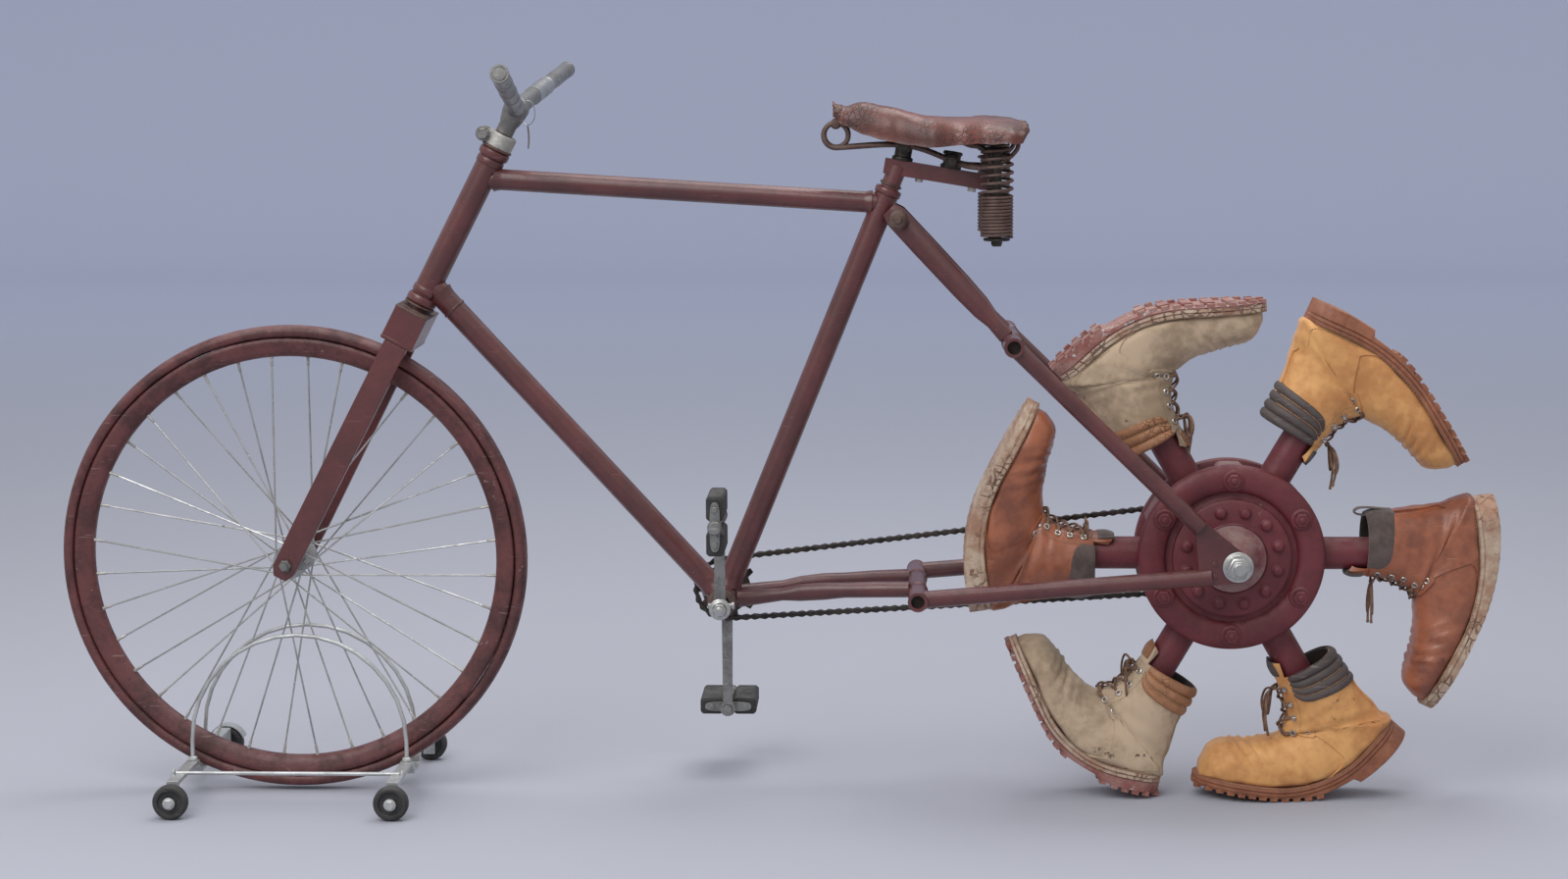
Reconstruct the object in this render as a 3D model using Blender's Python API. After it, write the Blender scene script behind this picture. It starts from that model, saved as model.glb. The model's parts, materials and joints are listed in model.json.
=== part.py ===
"""A walking bicycle: spoked front wheel standing in a castor dolly, safety frame, sprung saddle,
chain drive, and a rear wheel whose rim is six work boots on six leg tubes.

Metres, +Z up, +X towards the rear, -Y is the bicycle's left side. The origin is on the floor,
below the middle of the whole object.
"""

import math

import bmesh
import bpy
from mathutils import Matrix, Vector

# Clearances
GAP = 0.0003            # between pieces that touch
RUN = 0.0005            # between pieces that turn or slide in each other

# Wheelbase and front wheel
FRONT_AXLE_X = -0.642
WHEELBASE = 1.246
TYRE_RADIUS = 0.314
TYRE_LIFT = 0.0042      # the dolly holds the tyre just off the floor
TYRE_DEPTH = 0.0165
TYRE_HALF_WIDTH = 0.015
RIM_DEPTH = 0.025
RIM_HALF_WIDTH = 0.0145
FRONT_AXLE_RADIUS = 0.0045
FRONT_HUB_HALF = 0.045
FLANGE_RADIUS = 0.023
FLANGE_Y = 0.031
SPOKES_PER_SIDE = 18
SPOKE_RADIUS = 0.0011
SPOKE_CROSS = math.radians(68)
SPOKE_STAGGER = 0.0026      # crossing spokes lie side by side

# Steering head and fork; places are distances from the front axle along the steering axis
HEAD_ANGLE = math.radians(62.7)
HEAD_RADIUS = 0.0172
HEAD_BOTTOM = 0.396
HEAD_TOP = 0.600
CUP_RADIUS = 0.0205
CUP_HEIGHT = 0.013
STEERER_RADIUS = 0.0127
CROWN_BOTTOM = 0.328
CROWN_TOP = 0.3760
CROWN_HALF_DEPTH = 0.0225
CROWN_HALF_WIDTH = 0.050
BLADE_HALF_DEPTH = 0.0160
BLADE_HALF_THICK = 0.0055
BLADE_TOP_Y = 0.0435
BLADE_FOOT_Y = 0.0565
BLADE_BELOW_AXLE = 0.020
COLLAR_HEIGHT = 0.022
COLLAR_RADIUS = 0.0195
STEM_RADIUS = 0.0120
BOSS_AT = 0.672
BOSS_RADIUS = 0.0170
BAR_RADIUS = 0.0113
BAR_HALF_SPAN = 0.352
BAR_RISE = 0.048
BAR_SWEEP = 0.027

# Main frame
TOP_TUBE_RADIUS = 0.0140
TOP_TUBE_AT_HEAD = 0.5695
TOP_TUBE_AT_SEAT = 0.567
DOWN_TUBE_RADIUS = 0.0155
DOWN_TUBE_AT_HEAD = 0.4145
SEAT_ANGLE = math.radians(67.9)
SEAT_TUBE_RADIUS = 0.0158
SEAT_TUBE_LENGTH = 0.588
CRANK_X = 0.5755        # behind the front axle
CRANK_Z = 0.2655
SHELL_RADIUS = 0.0200
SHELL_HALF_WIDTH = 0.036
TUBE_WALL = 0.0016

# Rear frame
STAY_RADIUS = 0.0112
CROSS_RADIUS = 0.0125
CROSS_BORE = 0.0088
CROSS_HALF_SPAN = 0.120
LOWER_CROSS_BACK = 0.412    # ahead of the rear axle
LOWER_CROSS_DOWN = 0.0450
UPPER_CROSS_BACK = 0.290
UPPER_CROSS_UP = 0.2850
STAY_Y = 0.1045
CHAIN_STAY_Y = 0.030
CHAIN_STAY_REAR_Y = 0.074
PIVOT_DISTANCE = 0.556      # up the seat tube from the crank
PIVOT_BACK = 0.0250
ARM_HALF_WIDTH = 0.0155
ARM_HALF_THICK = 0.0060
ARM_TOP_Y = 0.0240
ARM_FOOT_Y = 0.0500
PIVOT_RADIUS = 0.0060
DROPOUT_HALF_THICK = 0.0025
REAR_AXLE_RADIUS = 0.0080
REAR_AXLE_HALF = 0.1330

# Boot wheel
HUB_RADIUS = 0.1228
HUB_INNER_FACE = 0.0225
HUB_OUTER_FACE = 0.0455
HUB_DISC_RADIUS = 0.0780
HUB_GROOVE_RADIUS = 0.0870
HUB_BOSS_RADIUS = 0.0350
HUB_BOSS_END = 0.0985
HUB_BOSS_TIP = 0.0175
RING_BOLT_CIRCLE = 0.1030
RING_BOLT_RADIUS = 0.0085
DISC_BOLT_CIRCLE = 0.0620
DISC_BOLT_RADIUS = 0.0058
DISC_BOLTS = 12
SPACER_RADIUS = 0.0150
LEGS = 6
LEG_RADIUS = 0.0215
LEG_BORE = 0.0185
SEAT_RADIUS = 0.3545        # from the rear axle to the outside of a sole under the leg
HEEL_BACK = -0.076
HEEL_SOLE = 0.030
TOE_SOLE = 0.017
FLEX_START = 0.055          # along the footbed from the heel
FLEX_LENGTH = 0.135
FOOT_LENGTH = 0.292
COLLAR_REACH = 0.180        # from the rear axle to the top edge of a boot
SHAFT_BACK = -0.055
SHAFT_FRONT = 0.0275
SHAFT_HALF_WIDTH = 0.0380
BOOT_WALL = 0.0030
# leg angle, heel tilt and toe flex of each boot, in degrees
BOOTS = (
    ("a", 120, 13, 27),
    ("b", 60, 6, 28),
    ("c", 0, 7, 26),
    ("d", -60, 19, 37),
    ("e", -120, 18, 36),
    ("f", 180, 9, 28),
)

# Chain drive
CHAIN_PITCH = 0.0254
CHAIN_Y = 0.0625
CHAIN_HALF_WIDTH = 0.0058
CHAIN_HALF_HEIGHT = 0.0044
CHAIN_SLOT = 0.0034
FRONT_TEETH = 10
REAR_TEETH = 15
TOOTH_RISE = 0.0020
SPROCKET_HALF_THICK = 0.0018
CRANK_LEFT = 0.124
CRANK_RIGHT = 0.170
CRANK_Y = 0.0790
CRANK_HALF_WIDTH = 0.0075
CRANK_HALF_THICK = 0.0055
CRANK_EYE = 0.0125
SPINDLE_RADIUS = 0.0080
SPINDLE_STEP = 0.0072       # thinner end that carries the chainring and right crank
PEDAL_LENGTH = 0.0900
PEDAL_REACH = 0.0385
PEDAL_BLOCK_HALF = 0.0115
PEDAL_SLOT = 0.0070
PEDAL_PIN_RADIUS = 0.0055

# Seat pillar and saddle
POST_RADIUS = 0.0127
POST_DEPTH = 0.120
POST_RISE = 0.031
POST_ARM_LENGTH = 0.118
POST_ARM_HALF = 0.0100
POST_ARM_DROP = math.radians(9.5)
SADDLE_LENGTH = 0.250
SADDLE_NOSE_X = 0.7230      # behind the front axle
SADDLE_TOP_Z = 0.9215
NOSE_RING_DOWN = 0.0420
SADDLE_TAIL_DROP = 0.0200
SADDLE_HALF_WIDTH = 0.105
NOSE_RING_RADIUS = 0.0160
WIRE_RADIUS = 0.0036
CLAMP_RADIUS = 0.0115
FRONT_CLAMP_HEIGHT = 0.032
REAR_CLAMP_HEIGHT = 0.022
WIRE_Y = 0.0190
SPRING_X = 0.9350           # behind the front axle
SPRING_Y = 0.0600
SPRING_RADIUS = 0.0215
SPRING_TOP_Z = 0.8450
SPRING_FOOT_Z = 0.7480

# Dolly
DOLLY_SHIFT = 0.006
HOOP_HALF_BASE = 0.1445
HOOP_TOP_Z = 0.2190
HOOP_Y = 0.0360
HOOP_RADIUS = 0.0028
BRIDGE_TOP_Z = 0.0475
BRIDGE_THICK = 0.0050
BRIDGE_HALF_WIDTH = 0.0080
BRIDGE_HALF_SPAN = 0.1485
SIDE_ROD_Y = -0.1120
CASTOR_RADIUS = 0.0231
CASTOR_HALF_WIDTH = 0.0082
CASTOR_Y = 0.1610
CASTOR_PIN_RADIUS = 0.0040

ROUND = 16              # sides of a tube
WHEEL_SIDES = 40        # sides of a wheel

Y_AXIS = Vector((0, 1, 0))
Z_AXIS = Vector((0, 0, 1))
FRONT_AXLE = Vector((FRONT_AXLE_X, 0, TYRE_RADIUS + TYRE_LIFT))
HEAD = Vector((math.cos(HEAD_ANGLE), 0, math.sin(HEAD_ANGLE)))
HEAD_FORE = Vector((-HEAD.z, 0, HEAD.x))
SEAT = Vector((math.cos(SEAT_ANGLE), 0, math.sin(SEAT_ANGLE)))
CRANK = Vector((FRONT_AXLE_X + CRANK_X, 0, CRANK_Z))
FINISHES = {
    "maroon_paint": ((0.085, 0.022, 0.020), 0.5, 0.2),
    "bright_steel": ((0.55, 0.55, 0.54), 0.35, 1.0),
    "chain_steel": ((0.03, 0.03, 0.032), 0.5, 0.8),
    "saddle_leather": ((0.20, 0.055, 0.035), 0.4, 0.0),
    "boot_leather": ((0.42, 0.26, 0.12), 0.7, 0.0),
    "boot_rubber": ((0.32, 0.14, 0.08), 0.8, 0.0),
    "black_rubber": ((0.012, 0.012, 0.012), 0.6, 0.0),
    "spring_steel": ((0.16, 0.09, 0.08), 0.45, 0.7),
}


def clear_scene():
    for item in list(bpy.data.objects):
        bpy.data.objects.remove(item)


def finish_material(name):
    """The material of that finish, made once."""
    if name in bpy.data.materials:
        return bpy.data.materials[name]
    colour, roughness, metallic = FINISHES[name]
    made = bpy.data.materials.new(name)
    made.use_nodes = True
    shader = made.node_tree.nodes["Principled BSDF"]
    shader.inputs["Base Color"].default_value = (*colour, 1)
    shader.inputs["Roughness"].default_value = roughness
    shader.inputs["Metallic"].default_value = metallic
    return made


def place(name, shape, finish, pivot=Vector((0, 0, 0))):
    """Makes an object from a bmesh in world coordinates, with its origin at the pivot."""
    bmesh.ops.recalc_face_normals(shape, faces=shape.faces)
    mesh = bpy.data.meshes.new(name)
    shape.to_mesh(mesh)
    shape.free()
    mesh.transform(Matrix.Translation(-pivot))
    mesh.materials.append(finish_material(finish))
    mesh.shade_smooth()
    mesh.set_sharp_from_angle(angle=math.radians(35))
    made = bpy.data.objects.new(name, mesh)
    made.location = pivot
    bpy.context.scene.collection.objects.link(made)
    return made


def side_vectors(axis):
    """Two unit vectors square to the axis and to each other; the first lies level where it can."""
    axis = axis.normalized()
    level = Y_AXIS if abs(axis.y) < 0.9 else Vector((1, 0, 0))
    first = (level - axis * level.dot(axis)).normalized()
    return first, axis.cross(first)


def skin(shape, rings, closed_ends=True, looped=False):
    """Joins rings of points, all of the same count, into a skin."""
    made = [[shape.verts.new(point) for point in ring] for ring in rings]
    count = len(made[0])
    pairs = list(zip(made, made[1:]))
    if looped:
        pairs.append((made[-1], made[0]))
    for low, high in pairs:
        for i in range(count):
            j = (i + 1) % count
            shape.faces.new((low[i], low[j], high[j], high[i]))
    if closed_ends and not looped:
        shape.faces.new(list(reversed(made[0])))
        shape.faces.new(made[-1])
    return made


def ring_points(centre, first, second, half_first, half_second, sides=ROUND):
    turns = [2 * math.pi * (i + 0.5) / sides for i in range(sides)]
    return [centre + first * half_first * math.cos(a) + second * half_second * math.sin(a) for a in turns]


def tube_shape(shape, start, end, radius, bore=0.0, sides=ROUND):
    """Adds a straight tube, or a bar where it has no bore."""
    first, second = side_vectors(end - start)
    outer = [ring_points(p, first, second, radius, radius, sides) for p in (start, end)]
    if bore:
        inner = [ring_points(p, first, second, bore, bore, sides) for p in (end, start)]
        skin(shape, outer + inner, looped=True)
    else:
        skin(shape, outer)


def tube(name, start, end, radius, finish, bore=0.0, sides=ROUND, pivot=Vector((0, 0, 0))):
    shape = bmesh.new()
    tube_shape(shape, start, end, radius, bore, sides)
    return place(name, shape, finish, pivot)


def turned(name, profile, centre, axis, finish, sides=ROUND, pivot=Vector((0, 0, 0))):
    """Turns (radius, height) points about the axis; a profile that never meets the axis is a ring."""
    first, second = side_vectors(axis)
    axis = axis.normalized()
    shape = bmesh.new()
    rings = []
    for radius, height in profile:
        if radius > 0:
            rings.append(ring_points(centre + axis * height, first, second, radius, radius, sides))
    skin(shape, rings, looped=profile[0][0] > 0)
    return place(name, shape, finish, pivot)


def lofted(name, rings, finish, pivot=Vector((0, 0, 0))):
    shape = bmesh.new()
    skin(shape, rings)
    return place(name, shape, finish, pivot)


def slab(name, outline, origin, across, up, half_thick, finish, pivot=Vector((0, 0, 0))):
    """Extrudes an outline of (across, up) points both ways from its plane."""
    normal = across.cross(up).normalized()
    rings = []
    for side in (-half_thick, half_thick):
        rings.append([origin + across * a + up * b + normal * side for a, b in outline])
    return lofted(name, rings, finish, pivot)


def bent_wire(name, points, radius, finish, sides=8):
    """A round wire along the points; its section turns as little as it can from point to point."""
    first, second = side_vectors(points[1] - points[0])
    rings = []
    for i, point in enumerate(points):
        along = (points[min(i + 1, len(points) - 1)] - points[max(i - 1, 0)]).normalized()
        first = (first - along * first.dot(along)).normalized()
        second = along.cross(first)
        rings.append(ring_points(point, first, second, radius, radius, sides))
    return lofted(name, rings, finish)


def as_tool(item):
    """Marks a solid that only cuts or joins another, so that it isn't a piece itself."""
    item.hide_render = True
    item.display_type = "WIRE"
    return item


def combine(piece, tool, operation):
    step = piece.modifiers.new(operation.lower(), "BOOLEAN")
    step.operation = operation
    step.solver = "EXACT"
    step.object = as_tool(tool)
    return piece


def weld(piece, *tools):
    for tool in tools:
        combine(piece, tool, "UNION")
    return piece


def cut(piece, *tools):
    for tool in tools:
        combine(piece, tool, "DIFFERENCE")
    return piece


def bore_tool(name, centre, axis, radius, reach, sides=ROUND):
    """A bar that drills a hole or a saddle-shaped tube end, reaching both ways from its centre."""
    return tube(name, centre - axis * reach, centre + axis * reach, radius, "bright_steel", sides=sides)


def on_head(distance, fore=0.0, side=0.0):
    return FRONT_AXLE + HEAD * distance + HEAD_FORE * fore + Y_AXIS * side


def on_seat(distance):
    return CRANK + SEAT * distance


# The boots come first, because the sole that stands on the floor sets the rear axle's height.
def footbed(tilt, flex, distance):
    """Point and slope of the footbed's centre line at a distance from the heel.

    Points are (forward, outward): forward from the leg's axis to the toe, outward from the axle.
    """
    tilt = math.radians(tilt)
    bend = tilt + math.radians(flex)
    heel_out = SEAT_RADIUS - HEEL_SOLE + HEEL_BACK * math.tan(tilt)
    forward, outward, slope = HEEL_BACK, heel_out, tilt
    steps = 24
    length = distance / steps
    for step in range(steps):
        passed = (step + 0.5) * length
        share = min(max((passed - FLEX_START) / FLEX_LENGTH, 0), 1)
        slope = tilt - bend * share
        forward += length * math.cos(slope)
        outward += length * math.sin(slope)
    return Vector((forward, outward)), slope


def sole_depth(distance):
    """Thickness of the sole: the heel's, then sloping down to the toe's."""
    share = min(max((distance - FLEX_START * 0.8) / FLEX_LENGTH, 0), 1)
    return HEEL_SOLE + (TOE_SOLE - HEEL_SOLE) * share


def sole_half_width(distance):
    """Half the width of the sole's footprint: rounded heel, waist, ball and rounded toe."""
    share = distance / FOOT_LENGTH
    waist = 0.0360 + 0.0130 * math.exp(-((share - 0.72) / 0.20) ** 2)
    ends = min(1.0, (0.25 + share / 0.10), (0.22 + (1 - share) / 0.13))
    return waist * ends


def sole_edge(tilt, flex, distance, depth):
    """A point below the footbed, square to it."""
    point, slope = footbed(tilt, flex, distance)
    return point + Vector((-math.sin(slope), math.cos(slope))) * depth


def sole_stations():
    return [FOOT_LENGTH * i / 13 for i in range(14)]


def standing_depth():
    """How far the boots' soles reach below the rear axle: the deepest one stands on the floor."""
    depths = []
    for _, angle, tilt, flex in BOOTS:
        outward, forward = boot_axes(angle)
        for distance in sole_stations():
            edge = sole_edge(tilt, flex, distance, sole_depth(distance))
            depths.append(-(forward * edge.x + outward * edge.y).z)
    return max(depths)


def boot_axes(angle):
    """Outward along the leg, and forward to the toe, in world axes."""
    angle = math.radians(angle)
    return Vector((math.cos(angle), 0, math.sin(angle))), Vector((math.sin(angle), 0, -math.cos(angle)))


REAR_AXLE = Vector((FRONT_AXLE_X + WHEELBASE, 0, standing_depth()))
LOWER_CROSS = REAR_AXLE + Vector((-LOWER_CROSS_BACK, 0, -LOWER_CROSS_DOWN))
UPPER_CROSS = REAR_AXLE + Vector((-UPPER_CROSS_BACK, 0, UPPER_CROSS_UP))
PIVOT = CRANK + SEAT * PIVOT_DISTANCE + Vector((SEAT.z, 0, -SEAT.x)) * PIVOT_BACK


def boot_sole(name, angle, tilt, flex):
    outward, forward = boot_axes(angle)
    rings = []
    for distance in sole_stations():
        half = sole_half_width(distance)
        top = sole_edge(tilt, flex, distance, GAP)
        low = sole_edge(tilt, flex, distance, sole_depth(distance))
        corners = ((top, -half), (top, half), (low, half), (low, -half))
        rings.append([REAR_AXLE + forward * p.x + outward * p.y + Y_AXIS * side for p, side in corners])
    return lofted(name, rings, "boot_rubber", REAR_AXLE)


def boot_upper(name, angle, tilt, flex):
    """Lofted from the collar, round the heel and along the foot, then hollowed round the leg."""
    outward, forward = boot_axes(angle)
    shaft = COLLAR_REACH
    pairs = [
        ((SHAFT_BACK, shaft), (SHAFT_FRONT, shaft), SHAFT_HALF_WIDTH),
        ((SHAFT_BACK - 0.002, shaft + 0.035), (SHAFT_FRONT + 0.004, shaft + 0.028), SHAFT_HALF_WIDTH),
        ((SHAFT_BACK - 0.006, shaft + 0.070), (SHAFT_FRONT + 0.013, shaft + 0.050), 0.0365),
        ((SHAFT_BACK - 0.016, shaft + 0.110), (SHAFT_FRONT + 0.030, shaft + 0.066), 0.0355),
    ]
    # along the foot: footbed distance below, footbed distance and height above, half width
    foot = (
        (0.003, 0.135, 0.078, 0.036),
        (0.060, 0.165, 0.070, 0.039),
        (0.120, 0.195, 0.061, 0.043),
        (0.180, 0.225, 0.054, 0.047),
        (0.230, 0.255, 0.047, 0.044),
        (0.268, 0.276, 0.036, 0.033),
        (0.284, 0.287, 0.014, 0.016),
    )
    for low_at, high_at, height, half in foot:
        low = sole_edge(tilt, flex, low_at, 0)
        high = sole_edge(tilt, flex, high_at, -height)
        pairs.append((tuple(low), tuple(high), half))
    rings = []
    for low, high, half in pairs:
        low, high = Vector(low), Vector(high)
        middle = (low + high) / 2
        reach = (high - low) / 2
        along = forward * reach.x + outward * reach.y
        centre = REAR_AXLE + forward * middle.x + outward * middle.y
        rings.append(ring_points(centre, along, Y_AXIS, 1, half, 12))
    made = lofted(name, rings, "boot_leather", REAR_AXLE)
    shaft_centre = REAR_AXLE + forward * (SHAFT_BACK + SHAFT_FRONT) / 2
    hollow_half = (SHAFT_FRONT - SHAFT_BACK) / 2 - BOOT_WALL
    ends = (COLLAR_REACH - 0.02, leg_reach(tilt, flex) + GAP)
    hollow = [
        ring_points(shaft_centre + outward * reach, forward, Y_AXIS, hollow_half, SHAFT_HALF_WIDTH - 2 * BOOT_WALL)
        for reach in ends
    ]
    below = [sole_edge(tilt, flex, distance, 0) for distance in sole_stations()]
    below = [below[0] + Vector((-0.05, 0))] + below + [below[-1] + Vector((0.05, -0.03))]
    below += [below[-1] + Vector((0.03, 0.3)), below[0] + Vector((0, 0.2))]
    floor = slab(name + "_floor", [tuple(p) for p in below], REAR_AXLE, forward, outward, 0.08, "boot_rubber")
    return cut(made, lofted(name + "_hollow", hollow, "boot_leather"), floor)


def leg_reach(tilt, flex):
    """Where the leg ends, just above the footbed."""
    return footbed(tilt, flex, -HEEL_BACK)[0].y - 0.010


def hub_plate(name, side):
    """One bolted half of the hub: rounded rim, groove, raised disc and cone."""
    outer, inner = HUB_OUTER_FACE, HUB_INNER_FACE
    bore = REAR_AXLE_RADIUS + RUN
    profile = [
        (bore, inner), (HUB_RADIUS - 0.004, inner), (HUB_RADIUS, inner + 0.004), (HUB_RADIUS, outer - 0.009),
        (HUB_RADIUS - 0.006, outer - 0.002), (HUB_RADIUS - 0.014, outer), (HUB_GROOVE_RADIUS + 0.006, outer - 0.002),
        (HUB_GROOVE_RADIUS, outer - 0.007), (HUB_DISC_RADIUS, outer - 0.007), (HUB_DISC_RADIUS - 0.002, outer - 0.001),
        (HUB_BOSS_RADIUS, outer + 0.001), (HUB_BOSS_RADIUS - 0.008, outer + 0.016),
        (HUB_BOSS_TIP + 0.003, HUB_BOSS_END - 0.018), (HUB_BOSS_TIP, HUB_BOSS_END), (bore, HUB_BOSS_END),
    ]
    axis = Y_AXIS * side
    plate = turned(name, profile, REAR_AXLE, axis, "maroon_paint", WHEEL_SIDES, REAR_AXLE)
    heads = bmesh.new()
    circles = (
        (LEGS, RING_BOLT_CIRCLE, RING_BOLT_RADIUS, math.pi / LEGS, outer + 0.0045),
        (DISC_BOLTS, DISC_BOLT_CIRCLE, DISC_BOLT_RADIUS, math.pi / DISC_BOLTS, outer + 0.0038),
    )
    for count, circle, radius, start, top in circles:
        for i in range(count):
            turn = start + 2 * math.pi * i / count
            centre = REAR_AXLE + Vector((math.cos(turn), 0, math.sin(turn))) * circle
            tube_shape(heads, centre + axis * (outer - 0.006), centre + axis * top, radius, sides=6)
    weld(plate, place(name + "_heads", heads, "maroon_paint"))
    return plate


def hub_spacers():
    """Distance pieces between the two plates, on the ring bolts."""
    shape = bmesh.new()
    for i in range(LEGS):
        turn = math.pi / LEGS + 2 * math.pi * i / LEGS
        centre = REAR_AXLE + Vector((math.cos(turn), 0, math.sin(turn))) * RING_BOLT_CIRCLE
        reach = Y_AXIS * HUB_INNER_FACE
        tube_shape(shape, centre - reach + Y_AXIS * GAP, centre + reach * 1.05, SPACER_RADIUS, sides=10)
    return place("hub_spacers", shape, "maroon_paint")


def leg_spider():
    bore = REAR_AXLE_RADIUS + RUN
    core = HUB_INNER_FACE - GAP
    profile = [(bore, -core), (0.062, -core), (0.062, core), (bore, core)]
    spider = turned("leg_spider", profile, REAR_AXLE, Y_AXIS, "maroon_paint", 24, REAR_AXLE)
    for letter, angle, tilt, flex in BOOTS:
        outward = boot_axes(angle)[0]
        end = REAR_AXLE + outward * leg_reach(tilt, flex)
        weld(spider, tube("leg_" + letter, REAR_AXLE + outward * 0.030, end, LEG_RADIUS, "maroon_paint"))
    for letter, angle, tilt, flex in BOOTS:
        outward = boot_axes(angle)[0]
        start, end = REAR_AXLE + outward * 0.056, REAR_AXLE + outward * 0.36
        cut(spider, tube("leg_bore_" + letter, start, end, LEG_BORE, "maroon_paint"))
    return spider


def toothed(name, teeth, centre, bore, pivot):
    """A flat sprocket whose teeth stand between the chain's rollers."""
    pitch_radius = CHAIN_PITCH / 2 / math.sin(math.pi / teeth)
    root, tip = pitch_radius - 0.0075, pitch_radius + TOOTH_RISE
    step = 2 * math.pi / teeth
    outer = []
    for tooth in range(teeth):
        for share, radius in ((-0.24, root), (-0.13, tip), (0.13, tip), (0.24, root)):
            turn = (tooth + share) * step
            outer.append((radius, turn))
    shape = bmesh.new()
    rings = []
    for radius_of, y in ((1, -1), (1, 1), (0, 1), (0, -1)):
        ring = []
        for radius, turn in outer:
            reach = radius if radius_of else bore
            ring.append(centre + Vector((math.cos(turn), 0, math.sin(turn))) * reach + Y_AXIS * y * SPROCKET_HALF_THICK)
        rings.append(ring)
    skin(shape, rings, looped=True)
    return place(name, shape, "chain_steel", pivot)


def chain_loop():
    """The chain's envelope: a channel round both sprockets, open towards the teeth."""
    small = CHAIN_PITCH / 2 / math.sin(math.pi / FRONT_TEETH)
    large = CHAIN_PITCH / 2 / math.sin(math.pi / REAR_TEETH)
    span = REAR_AXLE - CRANK
    tilt = math.atan2(span.z, span.x)
    spread = math.asin((large - small) / span.length)
    path = []
    start, end = math.pi / 2 + spread, 3 * math.pi / 2 - spread
    for i in range(13):
        path.append((CRANK, small, tilt + start + (end - start) * i / 12))
    start, end = -math.pi / 2 - spread, math.pi / 2 + spread
    for i in range(17):
        path.append((REAR_AXLE, large, tilt + start + (end - start) * i / 16))
    high, low = CHAIN_HALF_HEIGHT, -CHAIN_HALF_HEIGHT
    wide, slot = CHAIN_HALF_WIDTH, CHAIN_SLOT
    section = ((low, -wide), (high, -wide), (high, wide), (low, wide), (low, slot), (high - 0.0012, slot),
               (high - 0.0012, -slot), (low, -slot))
    rings = []
    for centre, radius, turn in path:
        out = Vector((math.cos(turn), 0, math.sin(turn)))
        rings.append([centre + out * (radius + reach) + Y_AXIS * (CHAIN_Y + y) for reach, y in section])
    shape = bmesh.new()
    skin(shape, rings, looped=True)
    return place("chain", shape, "chain_steel")


def front_wheel():
    rim_outer = TYRE_RADIUS - TYRE_DEPTH - GAP
    half, depth = TYRE_HALF_WIDTH, TYRE_DEPTH
    tyre = [
        (TYRE_RADIUS, -0.3 * half), (TYRE_RADIUS, 0.3 * half), (TYRE_RADIUS - 0.3 * depth, 0.85 * half),
        (TYRE_RADIUS - 0.65 * depth, half), (TYRE_RADIUS - depth, 0.7 * half),
        (TYRE_RADIUS - depth, -0.7 * half), (TYRE_RADIUS - 0.65 * depth, -half), (TYRE_RADIUS - 0.3 * depth, -0.85 * half),
    ]
    turned("front_tyre", tyre, FRONT_AXLE, Y_AXIS, "maroon_paint", WHEEL_SIDES, FRONT_AXLE)
    half = RIM_HALF_WIDTH
    rim = [
        (rim_outer, -0.7 * half), (rim_outer, 0.7 * half), (rim_outer - 0.2 * RIM_DEPTH, half),
        (rim_outer - 0.7 * RIM_DEPTH, 0.85 * half), (rim_outer - RIM_DEPTH, 0.45 * half),
        (rim_outer - RIM_DEPTH, -0.45 * half), (rim_outer - 0.7 * RIM_DEPTH, -0.85 * half),
        (rim_outer - 0.2 * RIM_DEPTH, -half),
    ]
    turned("front_rim", rim, FRONT_AXLE, Y_AXIS, "maroon_paint", WHEEL_SIDES, FRONT_AXLE)
    bore = FRONT_AXLE_RADIUS + RUN
    hub = [
        (bore, -FRONT_HUB_HALF), (0.0095, -FRONT_HUB_HALF), (0.0115, -FLANGE_Y), (FLANGE_RADIUS, -FLANGE_Y),
        (FLANGE_RADIUS, -FLANGE_Y + 0.0025), (0.0115, -FLANGE_Y + 0.005), (0.0115, FLANGE_Y - 0.005),
        (FLANGE_RADIUS, FLANGE_Y - 0.0025), (FLANGE_RADIUS, FLANGE_Y), (0.0115, FLANGE_Y),
        (0.0095, FRONT_HUB_HALF), (bore, FRONT_HUB_HALF),
    ]
    turned("front_hub", hub, FRONT_AXLE, Y_AXIS, "bright_steel", ROUND, FRONT_AXLE)
    rim_inner = (rim_outer - RIM_DEPTH) * math.cos(math.pi / WHEEL_SIDES) - GAP
    for side, label in ((-1, "left"), (1, "right")):
        low, high = side * (FLANGE_Y + GAP), side * (FLANGE_Y + 0.0066)
        inner, outer = 0.0165, FLANGE_RADIUS + 0.0004
        washer = [(inner, low), (outer, low), (outer, high), (inner, high)]
        laced = turned("spokes_" + label, washer, FRONT_AXLE, Y_AXIS, "bright_steel", 18, FRONT_AXLE)
        wires = bmesh.new()
        for i in range(SPOKES_PER_SIDE):
            turn = 2 * math.pi * (i + 0.25 * side) / SPOKES_PER_SIDE
            lean = SPOKE_CROSS if i % 2 else -SPOKE_CROSS
            head = Vector((math.cos(turn + lean), 0, math.sin(turn + lean))) * 0.0198
            nipple = Vector((math.cos(turn), 0, math.sin(turn))) * rim_inner
            stagger = SPOKE_STAGGER * (i % 2)
            head += Y_AXIS * side * (FLANGE_Y + 0.0031 + stagger)
            nipple += Y_AXIS * side * (0.0025 + stagger)
            tube_shape(wires, FRONT_AXLE + head, FRONT_AXLE + nipple, SPOKE_RADIUS, sides=5)
        weld(laced, place("wires_" + label, wires, "bright_steel"))


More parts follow.
